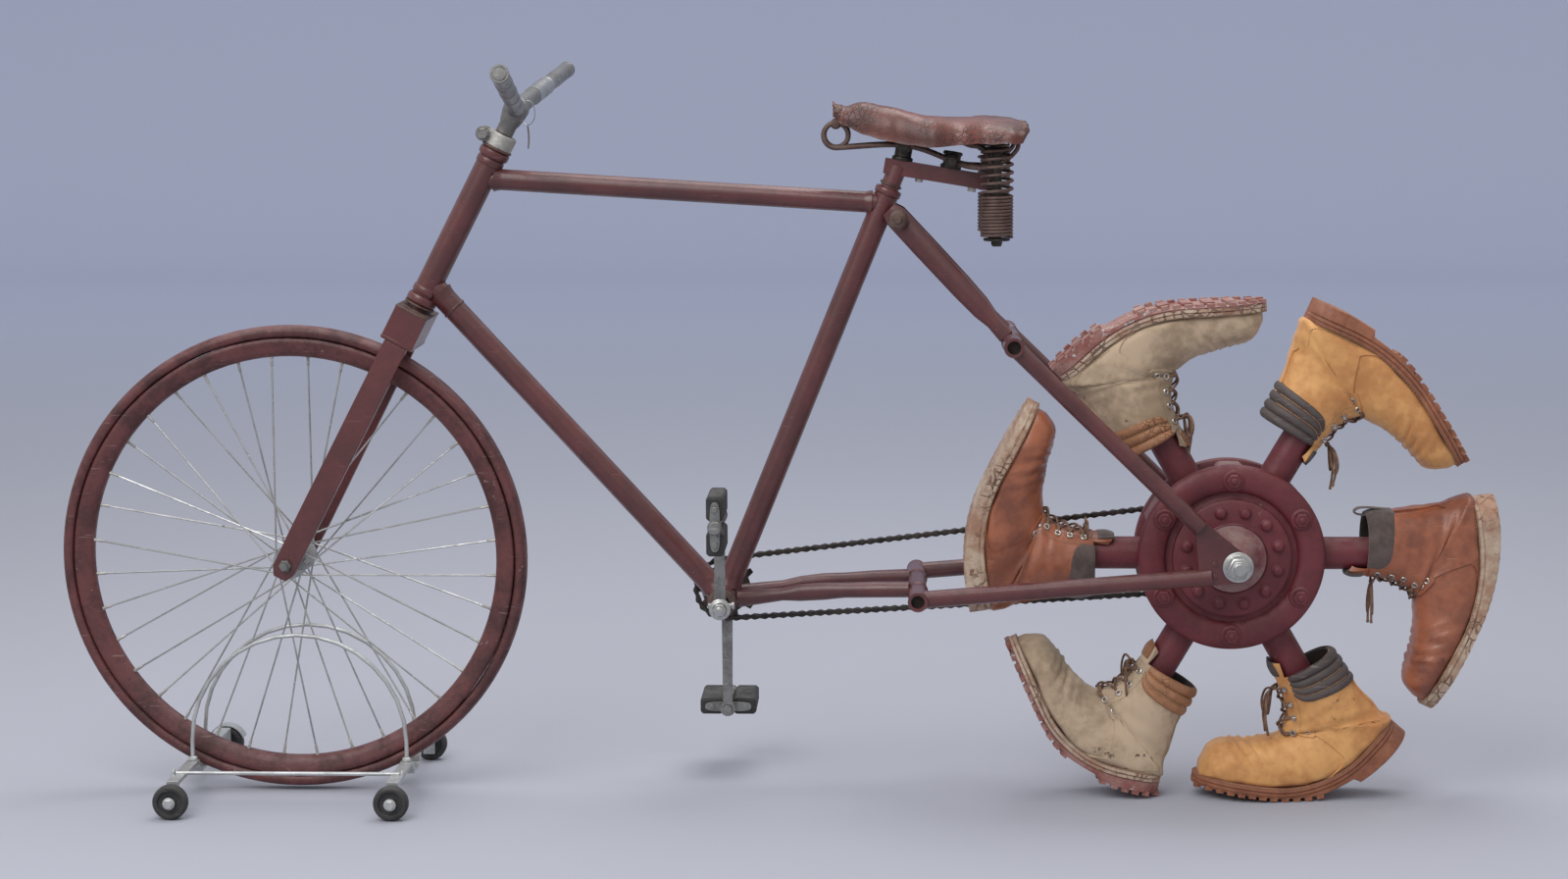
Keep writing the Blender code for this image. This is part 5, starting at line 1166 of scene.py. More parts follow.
class Boot:
    """A boot at the end of a leg: forward to its toe, outward from the axle, and across."""

    def __init__(self, letter, style, angle, tilt, flex):
        turn = math.radians(angle)
        self.letter, self.style = letter, style
        self.outward = around(turn)
        self.forward = Vector((math.sin(turn), 0, -math.cos(turn)))
        self.tilt, self.flex = math.radians(tilt), math.radians(flex)
        self.sizes = setting("boot")
        self.seed = Vector((ord(letter) * 3.1, 0.7, 1.9))
        self.luck = random.Random(ord(letter))
        reach = self.sizes.collar_reach
        pairs = [(-0.055, reach, 0.0275, reach, 0.0380),
                 (-0.057, reach + 0.035, 0.0315, reach + 0.028, 0.0380),
                 (-0.061, reach + 0.070, 0.0405, reach + 0.050, 0.0365),
                 (-0.071, reach + 0.110, 0.0575, reach + 0.066, 0.0355)]
        foot = ((0.003, 0.135, 0.078, 0.036), (0.060, 0.165, 0.070, 0.039), (0.120, 0.195, 0.062, 0.043),
                (0.180, 0.225, 0.056, 0.047), (0.230, 0.255, 0.050, 0.045), (0.266, 0.274, 0.040, 0.035),
                (0.284, 0.285, 0.018, 0.018))
        slim = 1.0 if letter == "d" else 0.84
        for low_at, high_at, height, half in foot:
            height *= 1 - (1 - slim) * limited((low_at - 0.06) / 0.15)
            low, high = self.below(low_at, 0.002), self.below(high_at, -height)
            pairs.append((low.x, low.y, high.x, high.y, half))
        self.pairs = pairs
        self.last = len(pairs) - 1.0

    def footbed(self, distance):
        bend = self.tilt + self.flex
        heel_out = self.sizes.seat_radius - self.sizes.heel_sole + self.sizes.heel_back * math.tan(self.tilt)
        at, slope = Vector((self.sizes.heel_back, heel_out)), self.tilt
        steps = 24
        length = distance / steps
        for step in range(steps):
            share = limited(((step + 0.5) * length - self.sizes.flex_start) / self.sizes.flex_length)
            slope = self.tilt - bend * share
            at += Vector((math.cos(slope), math.sin(slope))) * length
        return at, slope

    def below(self, distance, depth):
        at, slope = self.footbed(distance)
        return at + Vector((-math.sin(slope), math.cos(slope))) * depth

    def world(self, along, out, across):
        return REAR_AXLE + self.forward * along + self.outward * out + Y * across

    def under(self, distance, depth, across):
        at = self.below(distance, depth)
        return self.world(at.x, at.y, across)

    def section(self, u):
        """Low point, high point and half width of the upper, smooth between the stations."""
        i = int(limited(math.floor(u), 0, self.last - 1))
        t = u - i
        pairs = self.pairs
        b, c = pairs[i], pairs[i + 1]
        a = pairs[i - 1] if i else tuple(2 * p - q for p, q in zip(b, c))
        d = pairs[i + 2] if i + 2 < len(pairs) else tuple(2 * q - p for p, q in zip(b, c))
        return [smooth(p, q, r, s, t)
                for p, q, r, s in zip(a, b, c, d)]

    def raw(self, u, turn):
        u = min(u, self.last)
        low_s, low_r, high_s, high_r, half = self.section(u)
        foot = limited((u - 2.6) / 1.8)
        c, s = math.cos(turn), math.sin(turn)
        power = 0.94 - 0.50 * foot if c < 0 else 0.94 - 0.10 * foot
        side = signed_power(s, power)
        share = 0.5 - 0.20 * foot
        if c < 0:
            rise = share - share * abs(c) ** power
        else:
            rise = share + (1 - share) * abs(c) ** (0.94 + 0.05 * foot)
        return self.world(low_s + (high_s - low_s) * rise, low_r + (high_r - low_r) * rise, half * side)

    def normal(self, u, turn):
        step = 0.04
        u = limited(u, -2.0, self.last - 0.05)
        along = self.raw(u + step, turn) - self.raw(u - step, turn)
        round_it = self.raw(u, turn + step) - self.raw(u, turn - step)
        out = along.cross(round_it)
        centre = (self.raw(u, 0.0) + self.raw(u, math.pi)) / 2
        if out.length < 1e-12:
            return (self.raw(u, turn) - centre).normalized()
        out.normalize()
        return out if out.dot(self.raw(u, turn) - centre) > 0 else -out

    def surface(self, u, turn, lift=0.0):
        """A point on the upper, wrinkled as worn leather is, lifted off it by lift."""
        point = self.raw(u, turn)
        c = math.cos(turn)
        where = point + self.seed
        slack = 0.0024 * noise.noise(where * 34) + 0.0008 * noise.noise(where * 95)
        ball = math.exp(-((u - 7.2) / 0.85) ** 2) * limited(c + 0.45)
        slack -= 0.0040 * ball * (0.5 + 0.5 * math.sin(u * 16 + 2.2 * noise.noise(where * 26) + turn * 0.5))
        ankle = math.exp(-((u - 3.4) / 1.3) ** 2) * (0.35 + 0.65 * abs(math.sin(turn)))
        slack -= 0.0034 * ankle * (0.5 + 0.5 * math.sin(u * 9 + 3.0 * noise.noise(where * 20) - c * 1.6))
        fade = limited((self.last - u) / 1.2)
        return point + self.normal(u, turn) * (slack * fade + lift)

    def patch(self, bm, rows, columns, where, mat=0, sink=-0.0007):
        """A panel on the upper, with its edges turned down; where(a, b) gives (u, turn, lift)."""
        grid = []
        for i in range(-1, rows + 2):
            line = []
            for j in range(-1, columns + 2):
                u, turn, lift = where(limited(i / rows), limited(j / columns))
                edge = i in (-1, rows + 1) or j in (-1, columns + 1)
                line.append(bm.verts.new(self.surface(u, turn, sink if edge else lift)))
            grid.append(line)
        for first, second in zip(grid, grid[1:]):
            for j in range(len(first) - 1):
                bm.faces.new((first[j], first[j + 1], second[j + 1], second[j])).material_index = mat

    def stitches(self, bm, line, lift, pitch=0.0042, mat=0):
        """Dashes of thread along a line of (u, turn) points."""
        points = [self.surface(u, turn, lift) for u, turn in line]
        spent, due = 0.0, 0.0
        for first, second in zip(points, points[1:]):
            length = (second - first).length
            while due < spent + length and length > 0:
                along = (second - first) / length
                start = first + along * (due - spent)
                sweep(bm, [start, start + along * pitch * 0.58], 0.00042, 5, mat)
                due += pitch
            spent += length

    # panels

    def shell(self):
        """The vamp and shaft in one skin, folded over the top edge and down inside."""
        bm = bmesh.new()
        rings = []

        def add_ring(u, lift):
            rings.append([bm.verts.new(self.surface(u, turn, lift)) for turn in circle(40)])
        for i in range(9, 0, -1):
            share = i / 9
            add_ring(1.75 * share, -0.0046)
        for u, lift in ((0.0, -0.0040), (-0.04, -0.0020), (0.0, 0.0)):
            add_ring(u, lift)
        steps = 76
        for i in range(1, steps + 1):
            add_ring(self.last * (1 - (1 - i / steps) ** 1.25), 0.0)
        skin(bm, rings)
        # The fold inside the top edge is the lining; the cap that closes the shaft below it is a near-black
        # sheet of painted shade.
        inside = {corner for ring in rings[:11] for corner in ring}
        for face in bm.faces:
            face.material_index = int(inside.issuperset(face.verts))
        return bm

    def quarters(self, bm, mat):
        for side in (-1, 1):
            def where(a, b, side=side):
                turn = math.radians(42 + 110 * b)
                end = 4.55 + 1.5 * b ** 1.3
                return 0.5 + (end - 0.5) * a, side * turn, 0.0021
            self.patch(bm, 40, 14, where, mat)

    def quarter_seam(self, side, back=0.0):
        return [(4.55 + 1.5 * b ** 1.3 - back, side * math.radians(42 + 108 * b))
                for b in (i / 32 for i in range(33))]

    def eyestays(self, bm, mat):
        for side in (-1, 1):
            def where(a, b, side=side):
                turn = math.radians(15 + 36 * b + 4 * a)
                return 0.10 + 4.75 * a - 0.35 * (b - 0.5) ** 2, side * turn, 0.0024
            self.patch(bm, 36, 6, where, mat)

    def counter(self, bm, mat):
        def where(a, b):
            reach = math.radians(66 - 22 * (1 - a) ** 2)
            start = 2.5 + 0.8 * (2 * b - 1) ** 2
            return start + (5.3 - start) * a, math.pi + reach * (2 * b - 1), 0.0021
        self.patch(bm, 18, 26, where, mat)

    def back_strip(self, bm, mat):
        def where(a, b):
            return 0.9 + 2.2 * a, math.pi + math.radians(13) * (2 * b - 1), 0.0026
        self.patch(bm, 14, 5, where, mat)

    def collar(self, bm, rolls, mat, depth, plump):
        """A padded band round the back and sides of the top edge, in rolls."""
        def where(a, b):
            end = abs(2 * b - 1) ** 10
            turn = math.radians(50 + 260 * b)
            bulge = abs(math.sin(math.pi * rolls * a)) ** 0.55
            return -0.05 + depth * a * (1 - 0.35 * end), turn, 0.0016 + plump * bulge * (1 - 0.5 * end)
        self.patch(bm, 7 * rolls, 46, where, mat)

    def tongue(self, bm, mat, tip_mat):
        def where(a, b):
            above = max(0.0, (a - 0.80) / 0.20)
            u = 4.6 - 5.5 * a
            reach = 27 + 12 * a - 9 * above ** 3
            side = 2 * b - 1
            return u, math.radians(reach) * side, 0.0006 + 0.007 * above ** 1.5 - 0.0015 * abs(side) ** 3
        self.patch(bm, 44, 10, where, mat, -0.0022)

        def tip(a, b):
            return -0.20 - 0.74 * a, math.radians(31 - 8 * a ** 3) * (2 * b - 1), 0.0030 + 0.007 * a
        self.patch(bm, 8, 10, tip, tip_mat, 0.0)

    def eyelet_places(self):
        count = 7 if self.style == "oiled" else 6
        return [0.45 + 4.05 * i / (count - 1) for i in range(count)]

    def eyelets(self, bm):
        hooks = 3 if self.style == "nubuck" else 0
        for i, u in enumerate(self.eyelet_places()):
            for side in (-1, 1):
                turn = side * math.radians(34 + 1.6 * i)
                at, out = self.surface(u, turn, 0.0026), self.normal(u, turn)
                if i < hooks:
                    lathe(bm, [(0, 0), (0.0042, 0), (0.0042, 0.0010), (0, 0.0014)], at, out, 14)
                    away = (self.surface(u, turn + side * 0.12, 0.0026) - at).normalized()
                    sweep(bm, [at, at + out * 0.0045, at + out * 0.0060 + away * 0.0030,
                               at + out * 0.0042 + away * 0.0058], 0.0013, 8, flat=1.6, up=out)
                else:
                    lathe(bm, [(0.0034 + 0.0013 * math.cos(t), 0.0005 + 0.0013 * math.sin(t))
                               for t in circle(8)], at, out, 16, looped=True)

    def laces(self, bm):
        radius = self.sizes.lace_radius
        places = self.eyelet_places()

        def hole(i, side, lift=0.0032):
            return self.surface(places[i], side * math.radians(34 + 1.6 * i), lift)
        for i in range(len(places) - 1):
            for side in (-1, 1):
                high = 0.0052 if side > 0 else 0.0074
                mid = (places[i] + places[i + 1]) / 2
                path = [hole(i, side, 0.0012), self.surface(places[i] + 0.05, side * math.radians(24),
                                                            0.0054), self.surface(mid, 0.0, high),
                        self.surface(places[i + 1] - 0.05, -side * math.radians(24), 0.0054),
                        hole(i + 1, -side, 0.0012)]
                sweep(bm, spline(path, 5), radius, 8)
        last = len(places) - 1
        sweep(bm, spline([hole(last, -1, 0.0012), self.surface(places[last] + 0.1, 0, 0.0058),
                          hole(last, 1, 0.0012)], 6), radius, 8)
        out = self.normal(places[0], 0.0)
        knot = self.surface(places[0] - 0.1, 0.0, 0.0085)
        for side in (-1, 1):
            sweep(bm, spline([hole(0, side, 0.001), knot + Y * side * 0.009 - out * 0.001, knot], 6), radius,
                  8)
        lathe(bm, [(0, -0.0050), (0.0026, -0.0040), (0.0036, 0.0), (0.0026, 0.0040), (0, 0.0050)], knot, Y,
              14)
        luck = self.luck
        size_of_bow = 1.5 if self.letter == "e" else 1.0
        for side in (-1, 1):
            drop = size_of_bow * (0.024 + 0.012 * luck.random())
            wide = size_of_bow * (0.020 + 0.008 * luck.random())
            loop = [knot, knot + Y * side * wide * 0.6 + out * 0.009 - Z * drop * 0.05,
                    knot + Y * side * wide + out * 0.013 - Z * drop * 0.55,
                    knot + Y * side * wide * 0.85 + out * 0.010 - Z * drop * 1.05,
                    knot + Y * side * wide * 0.40 + out * 0.006 - Z * drop * 0.75, knot + out * 0.002]
            sweep(bm, spline(loop, 8), radius, 8)
            length = size_of_bow * (0.042 + 0.022 * luck.random())
            tail = [knot, knot + Y * side * 0.007 + out * 0.010 - Z * length * 0.15,
                    knot + Y * side * 0.013 + out * 0.012 - Z * length * 0.55,
                    knot + Y * side * (0.010 + 0.008 * luck.random()) + out * 0.008 - Z * length]
            path = spline(tail, 8)
            sweep(bm, path, [radius] * (len(path) - 2) + [radius * 1.25, radius * 1.1], 8)

    def pull_loop(self, bm, mat):
        top, out = self.surface(0.0, math.pi, 0.001), self.normal(0.5, math.pi)
        down = self.surface(0.9, math.pi, 0.0030)
        path = spline([self.surface(0.9, math.pi, -0.003), top - out * 0.004 - self.outward * 0.004,
                       top - self.outward * 0.016, top + out * 0.006 - self.outward * 0.006, down], 7)
        sweep(bm, path, 0.0075, 12, mat, flat=0.16, up=out)

    # soles

    def sole_half(self, distance):
        share = distance / self.sizes.foot_length
        half = 0.0360 + 0.0130 * math.exp(-((share - 0.72) / 0.20) ** 2)
        if share < 0.12:
            half *= math.sqrt(max(0.0, 1 - ((0.12 - share) / 0.12) ** 2))
        if share > 0.80:
            half *= math.sqrt(max(0.0, 1 - ((share - 0.80) / 0.20) ** 2))
        return half

    def whole_depth(self, distance):
        share = limited((distance - self.sizes.flex_start * 0.8) / self.sizes.flex_length)
        return self.sizes.heel_sole - 0.0130 * share

    def sole_stations(self, steps):
        return [self.sizes.foot_length * (1 - math.cos(math.pi * i / steps)) / 2 for i in range(steps + 1)]

    def sole_ring(self, bm, distance, rows):
        """Down one side of the sole and up the other; rows are (depth, how far outside the footprint)."""
        half = max(self.sole_half(distance), 0.0004)
        near = min(1.0, half / 0.012)
        line = [(depth, -half - out * near) for depth, out in rows]
        line += [(depth, -across) for depth, across in reversed(line)]
        return [bm.verts.new(self.under(distance, depth, across)) for depth, across in line]

    def strip(self, bm, profile, mats, steps=90):
        """A body swept along the foot; profile(distance) gives the rows of each ring."""
        rings = [self.sole_ring(bm, distance, profile(distance)) for distance in self.sole_stations(steps)]
        skin(bm, rings)
        per = len(rings[0])
        count = per // 2
        for index, face in enumerate(bm.faces):
            j = index % per
            row = j if j < count else per - 2 - j
            if 0 <= row < len(mats):
                face.material_index = mats[row]

    def ragged(self, distance, across, size_of_lump):
        at = Vector((distance * 60, across * 9, 0)) + self.seed * 5
        return size_of_lump * noise.noise(at)

    def lug_sole(self):
        """Welt, midsole, and an outsole with a separate heel and blocks along its edges."""
        bm = bmesh.new()
        rough = self.style == "suede"

        def inner_depth(distance):
            depth = self.whole_depth(distance) - 0.0045
            heel = limited((distance - 0.083) / 0.004)
            fore = limited((distance - 0.112) / 0.016)
            raised = 0.0045 if heel < 0.5 and not rough else 0.0
            return depth + raised - (depth - 0.0165) * 0.75 * heel * (1 - fore)

        def profile(distance):
            lump = self.ragged(distance, 1, 0.0028) * limited((distance - 0.10) / 0.03) if rough else 0.0
            depth = inner_depth(distance)
            return [(0.0, 0.0010), (0.0012, 0.0030 + lump * 0.4), (0.0045, 0.0034 + lump), (0.0052, 0.0012),
                    (0.0060, 0.0012), (0.0066, 0.0030 + lump * 0.6), (0.0100, 0.0026 + lump * 0.3),
                    (0.0106, 0.0004),
                    (0.0114, 0.0004), (0.0122, 0.0022), (max(depth - 0.001, 0.0128), 0.0018),
                    (max(depth, 0.0133), 0.0004)]
        self.strip(bm, profile, [1, 1, 1, 0, 1, 1, 0, 0, 0, 0, 0, 0])
        pitch = 0.0140
        count = int(self.sizes.foot_length / pitch)
        for i in range(count + 1):
            distance = pitch * (i + 0.35)
            if distance > self.sizes.foot_length - 0.006 or 0.080 < distance < 0.120:
                continue
            if distance < 0.085 and not rough:
                continue
            _, slope = self.footbed(distance)
            along = self.forward * math.cos(slope) + self.outward * math.sin(slope)
            up = self.forward * -math.sin(slope) + self.outward * math.cos(slope)
            half = self.sole_half(distance)
            top, low = inner_depth(distance) - 0.002, self.whole_depth(distance)
            ends = limited((self.sizes.foot_length - distance) / 0.03) * 0.5 + 0.5
            for side in (-1, 1):
                reach = 0.0125 * ends
                wear = 0.0006 * self.luck.random()
                middle_at = self.under(distance, (top + low - wear) / 2, side * (half + 0.0014 - reach / 2))
                tall = (low - wear - top) / 2
                outline = [(-0.0052, -tall), (0.0052, -tall), (0.0046, tall), (-0.0046, tall)]
                prism(bm, outline, middle_at, along, up, reach / 2)
            if i % 2:
                middle_at = self.under(distance, (top + low) / 2, 0.0)
                tall = (low - top) / 2
                prism(bm, [(-0.0080, -tall), (0.0080, -tall), (0.0070, tall), (-0.0070, tall)], middle_at,
                      along, up, max(half - 0.022, 0.006))
        if not rough:
            def heel(distance):
                return [(0.0122, 0.0026), (self.whole_depth(distance) - 0.0015, 0.0026),
                        (self.whole_depth(distance), 0.0010)]
            places = [0.083 * (1 - math.cos(math.pi * i / 24 / 2)) for i in range(25)]
            skin(bm, [self.sole_ring(bm, distance, heel(distance)) for distance in places])
        return bm

    def crepe_sole(self):
        bm = bmesh.new()

        def profile(distance):
            whole = self.whole_depth(distance)
            ripple = 0.0009 * math.sin(distance * 2 * math.pi / 0.0125)
            rows = [(0.0, 0.0012), (0.0014, 0.0036), (0.0050, 0.0038), (0.0058, 0.0016), (0.0066, 0.0016)]
            for share in (0.05, 0.25, 0.45, 0.65, 0.85):
                depth = 0.0072 + (whole - 0.0072) * share
                rows.append((depth, 0.0030 + self.ragged(distance * 2.0, share * 8, 0.0010) - 0.0010 * share))
            rows.append((whole - 0.0012 + ripple * 0.5, 0.0012))
            rows.append((whole - 0.0004 + ripple * 0.4, -0.002))
            return rows
        self.strip(bm, profile, [1, 1, 1, 0], steps=130)
        return bm

    def welt_stitches(self, bm):
        for side in (-1, 1):
            points = [self.under(d, 0.0001, side * (self.sole_half(d) + 0.0026))
                      for d in self.sole_stations(110)[6:-3]]
            for first, second in zip(points, points[1:]):
                sweep(bm, [first, first + (second - first) * 0.62], 0.00050, 5)

    def build(self):
        name = "boot_" + self.letter + "_"
        leather, trim, rolls, depth, plump = STYLES[self.style]
        leather, trim = leather(), trim()
        piece(name + "shell", self.shell(), [leather, lining_and_painted_shade()], "rear_wheel",
              ["boot_upper_" + self.letter], sharp=50)
        bm = bmesh.new()
        self.quarters(bm, 0)
        self.counter(bm, 0)
        self.back_strip(bm, 0)
        self.eyestays(bm, 0)
        self.tongue(bm, 0, 1)
        self.collar(bm, rolls, 1, depth, plump)
        if self.style == "oiled":
            self.pull_loop(bm, 1)
        piece(name + "panels", bm, [leather, trim], "rear_wheel", sharp=60)
        bm = bmesh.new()
        for side in (-1, 1):
            for back in ((0.12, 0.28) if self.style == "nubuck" else (0.14,)):
                self.stitches(bm, self.quarter_seam(side, back), 0.0014)
            for start in (48, 18):
                line = [(0.3 + 4.3 * i / 30, side * math.radians(start + 4 * i / 30)) for i in range(31)]
                self.stitches(bm, line, 0.0027)
            self.stitches(bm,
                          [(3.2 + 1.9 * i / 20, math.pi + side * math.radians(61 - 10 * (1 - i / 20) ** 2))
                               for i in range(21)], 0.0023)
        self.welt_stitches(bm)
        piece(name + "thread", bm, [thread()], "rear_wheel")
        bm = bmesh.new()
        self.laces(bm)
        piece(name + "laces", bm, [lace_cord()], "rear_wheel")
        bm = bmesh.new()
        self.eyelets(bm)
        piece(name + "eyelets", bm, [eyelet_steel()], "rear_wheel")
        if self.style == "oiled":
            piece(name + "wedge", self.crepe_sole(), [crepe_sole(), crepe_sole()], "rear_wheel",
                  ["boot_sole_" + self.letter], sharp=50)
        else:
            outsole = red_sole() if self.style == "suede" else brown_sole()
            midsole = crepe_sole() if self.style == "suede" else outsole
            piece(name + "outsole", self.lug_sole(), [outsole, midsole], "rear_wheel",
                  ["boot_sole_" + self.letter], sharp=45)


def make_boots():
    for row in BOOTS:
        Boot(*row).build()


# ---- seat pillar, saddle and springs

NOSE_X = 0.081
SADDLE_LENGTH = 0.250
SADDLE_HALF = 0.105
SADDLE_TOP = 0.9215
TAIL_DROP = 0.0200
SPRING_X, SPRING_Y = 0.293, 0.060
COIL_RADIUS = 0.0193
ARM_DROP = math.radians(9.5)
ARM_ALONG, ARM_UP = around(-ARM_DROP), around(math.pi / 2 - ARM_DROP)
ARM_ROOT = on_seat(0.617)


def make_seat_pillar():
    dress(paint(), "seat_post", bevel=0.0012)
    bm = bmesh.new()
    half = 0.0045
    prism(bm, [(-half, -half), (half, -half), (half, half), (-half, half)], ARM_ROOT + ARM_ALONG * 0.1185, Y,
          ARM_UP, 0.0012)
    under = ARM_ROOT - ARM_UP * 0.0095
    nut(bm, under + ARM_ALONG * 0.100, -ARM_UP, 0.0056, 0.0050, washer=0.0075)
    nut(bm, under + ARM_ALONG * 0.030, -ARM_UP, 0.0050, 0.0040, washer=0.0068)
    piece("pillar_bolts", bm, [dull_alloy()], "seat_pillar")
    bm = bmesh.new()
    ring_round(bm, on_seat(0.593), SEAT, 0.0126, 0.004, 0.0020)
    piece("pillar_ring", bm, [rusty_steel()], "seat_pillar")
    low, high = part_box("saddle_spring_left")
    for side, label in ((-1, "left"), (1, "right")):
        make_spring(Vector((SPRING_X, side * SPRING_Y, 0)), label, low.z + 0.002, high.z + 0.019)


def make_spring(centre, label, bottom, top):
    """A tight barrel of wire below an open coil."""
    join = bottom + 0.052
    path = [centre + Z * bottom + X * COIL_RADIUS]
    for turns, start, end, swell in ((12, bottom, join, 0.0), (6, join, top, 0.0006)):
        for i in range(1, turns * 20 + 1):
            turn, share = 2 * math.pi * i / 20, i / (turns * 20)
            reach = COIL_RADIUS + swell * math.sin(share * math.pi)
            height = start + (end - start) * share
            path.append(centre + Vector((math.cos(turn), math.sin(turn), 0)) * reach + Z * height)
    bm = bmesh.new()
    sweep(bm, path, 0.0021, 8)
    coil = piece("coil_" + label, bm, [rusty_steel()], "seat_pillar",
                 ["saddle_spring_" + label])
    bm = bmesh.new()
    lathe(bm, [(0, 0.0), (0.0165, 0.0), (0.0172, 0.001), (0.0172, 0.0032), (0, 0.0036)],
          centre + Z * (bottom - 0.0048), Z, 32)
    nut(bm, centre + Z * (bottom - 0.0045), -Z, 0.0072, 0.0060)
    lathe(bm, [(0, 0.0), (0.0172, 0.0), (0.0185, 0.0012), (0.0172, 0.0024), (0, 0.0030)],
          centre + Z * (top - 0.001), Z, 32)
    sweep(bm, [centre + Z * (bottom - 0.012), centre + Z * (top - 0.003)], 0.0062, 12)
    core = piece("coil_core_" + label, bm, [oily_steel()], "seat_pillar")
    for part in (coil, core):
        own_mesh(part)


def saddle_section(share):
    """Half width, crown height and rim height of the saddle at a share of its length."""
    stations = ((0.00, 0.13, -0.006, -0.014), (0.05, 0.22, -0.003, -0.024), (0.16, 0.26, 0.005, -0.034),
                (0.32, 0.32, 0.003, -0.041), (0.50, 0.46, -0.003, -0.043), (0.66, 0.70, -0.004, -0.036),
                (0.80, 0.92, -0.001, -0.032), (0.92, 1.00, -0.001, -0.029), (0.97, 0.93, -0.004, -0.027),
                (1.00, 0.80, -0.009, -0.015))
    for first, second in zip(stations, stations[1:]):
        if share <= second[0]:
            t = (share - first[0]) / (second[0] - first[0])
            t = t * t * (3 - 2 * t)
            return [p + (q - p) * t for p, q in zip(first[1:], second[1:])]
    return list(stations[-1][1:])


def saddle_point(share, turn, inset=0.0):
    wide, crown, rim = saddle_section(share)
    line = SADDLE_TOP - TAIL_DROP * share
    half = SADDLE_HALF * wide - inset
    dip = math.sin(turn)
    at = Vector((NOSE_X + SADDLE_LENGTH * share, math.cos(turn) * half,
                 line + rim + (crown - rim - inset) * max(dip, 0.0) ** 0.8))
    at.z -= 0.0045 * math.exp(-((share - 0.45) / 0.22) ** 2) * max(dip, 0.0) ** 4
    return at


def make_saddle():
    bm = bmesh.new()
    steps, sides = 72, 40
    outer, inner = [], []
    for i in range(steps + 1):
        share = i / steps
        ripple = 0.0022 * noise.noise(Vector((share * 9, 0.3, 0.8))) - 0.0012
        line, under = [], []
        for j in range(-2, sides + 3):
            turn = math.pi * limited(j / sides)
            point = saddle_point(share, turn)
            low = saddle_point(share, turn, 0.0046)
            worn = Vector((0, 0, 0.0007 * noise.noise(point * 60) + 0.0005 * noise.noise(point * 140)))
            if not 0 <= j <= sides:
                depth = max(-j, j - sides) / 2
                skirt = Vector((0, (0.0009 if j < 0 else -0.0009) * depth, -(0.0050 + ripple) * depth))
                point += skirt
                low += skirt
            line.append(bm.verts.new(point + worn))
            under.append(bm.verts.new(low + worn))
        outer.append(line)
        inner.append(under)
    # The under sheet takes the near-black finish: painted shade under the saddle.
    for sheet, mat in ((outer, 0), (inner, 1)):
        skin(bm, sheet, open_ring=True, mat=mat)
    last = len(outer[0]) - 1
    for i in range(steps):
        for j in (0, last):
            bm.faces.new((outer[i][j], outer[i + 1][j], inner[i + 1][j], inner[i][j]))
    for i in (0, steps):
        for j in range(last):
            bm.faces.new((outer[i][j], outer[i][j + 1], inner[i][j + 1], inner[i][j]))
    piece("saddle_leather_top", bm, [saddle_leather(), lining_and_painted_shade()], "saddle", ["saddle_top"],
          sharp=60)
    bm = bmesh.new()
    nose = Vector((NOSE_X, 0, SADDLE_TOP))
    curl = []
    for i in range(9):
        share = i / 8
        x = nose.x + 0.012 - 0.0125 * share
        z = nose.z - 0.0045 + 0.0075 * share ** 2
        wide = 0.0165 * (1 - 0.45 * share ** 2) + 0.0012 * noise.noise(Vector((share * 9, 3, 1)))
        curl.append([bm.verts.new(Vector((x, wide * side, z + lift - 0.004 * abs(side) ** 2.5)))
                     for side, lift in [(-1 + k / 4, 0.0) for k in range(9)] + [(1 - k / 4, -0.0032)
                                                                                for k in range(9)]])
    skin(bm, curl)
    piece("saddle_nose_curl", bm, [saddle_leather()], "saddle", sharp=60)
    bm = bmesh.new()
    for share, turn in [(0.985, math.pi * k / 8) for k in (1, 2.2, 4, 5.8, 7)] + [(0.03, math.pi * k / 4)
                                                                                  for k in (1, 2, 3)]:
        at = saddle_point(share, turn)
        out = Vector((0, math.cos(turn), max(math.sin(turn), 0.3))).normalized()
        lathe(bm, [(0, -0.001), (0.0062, -0.001), (0.0060, 0.0008), (0.0042, 0.0022), (0, 0.0028)], at, out,
              20)
    piece("saddle_rivets", bm, [rusty_steel()], "saddle")
    make_saddle_frame()


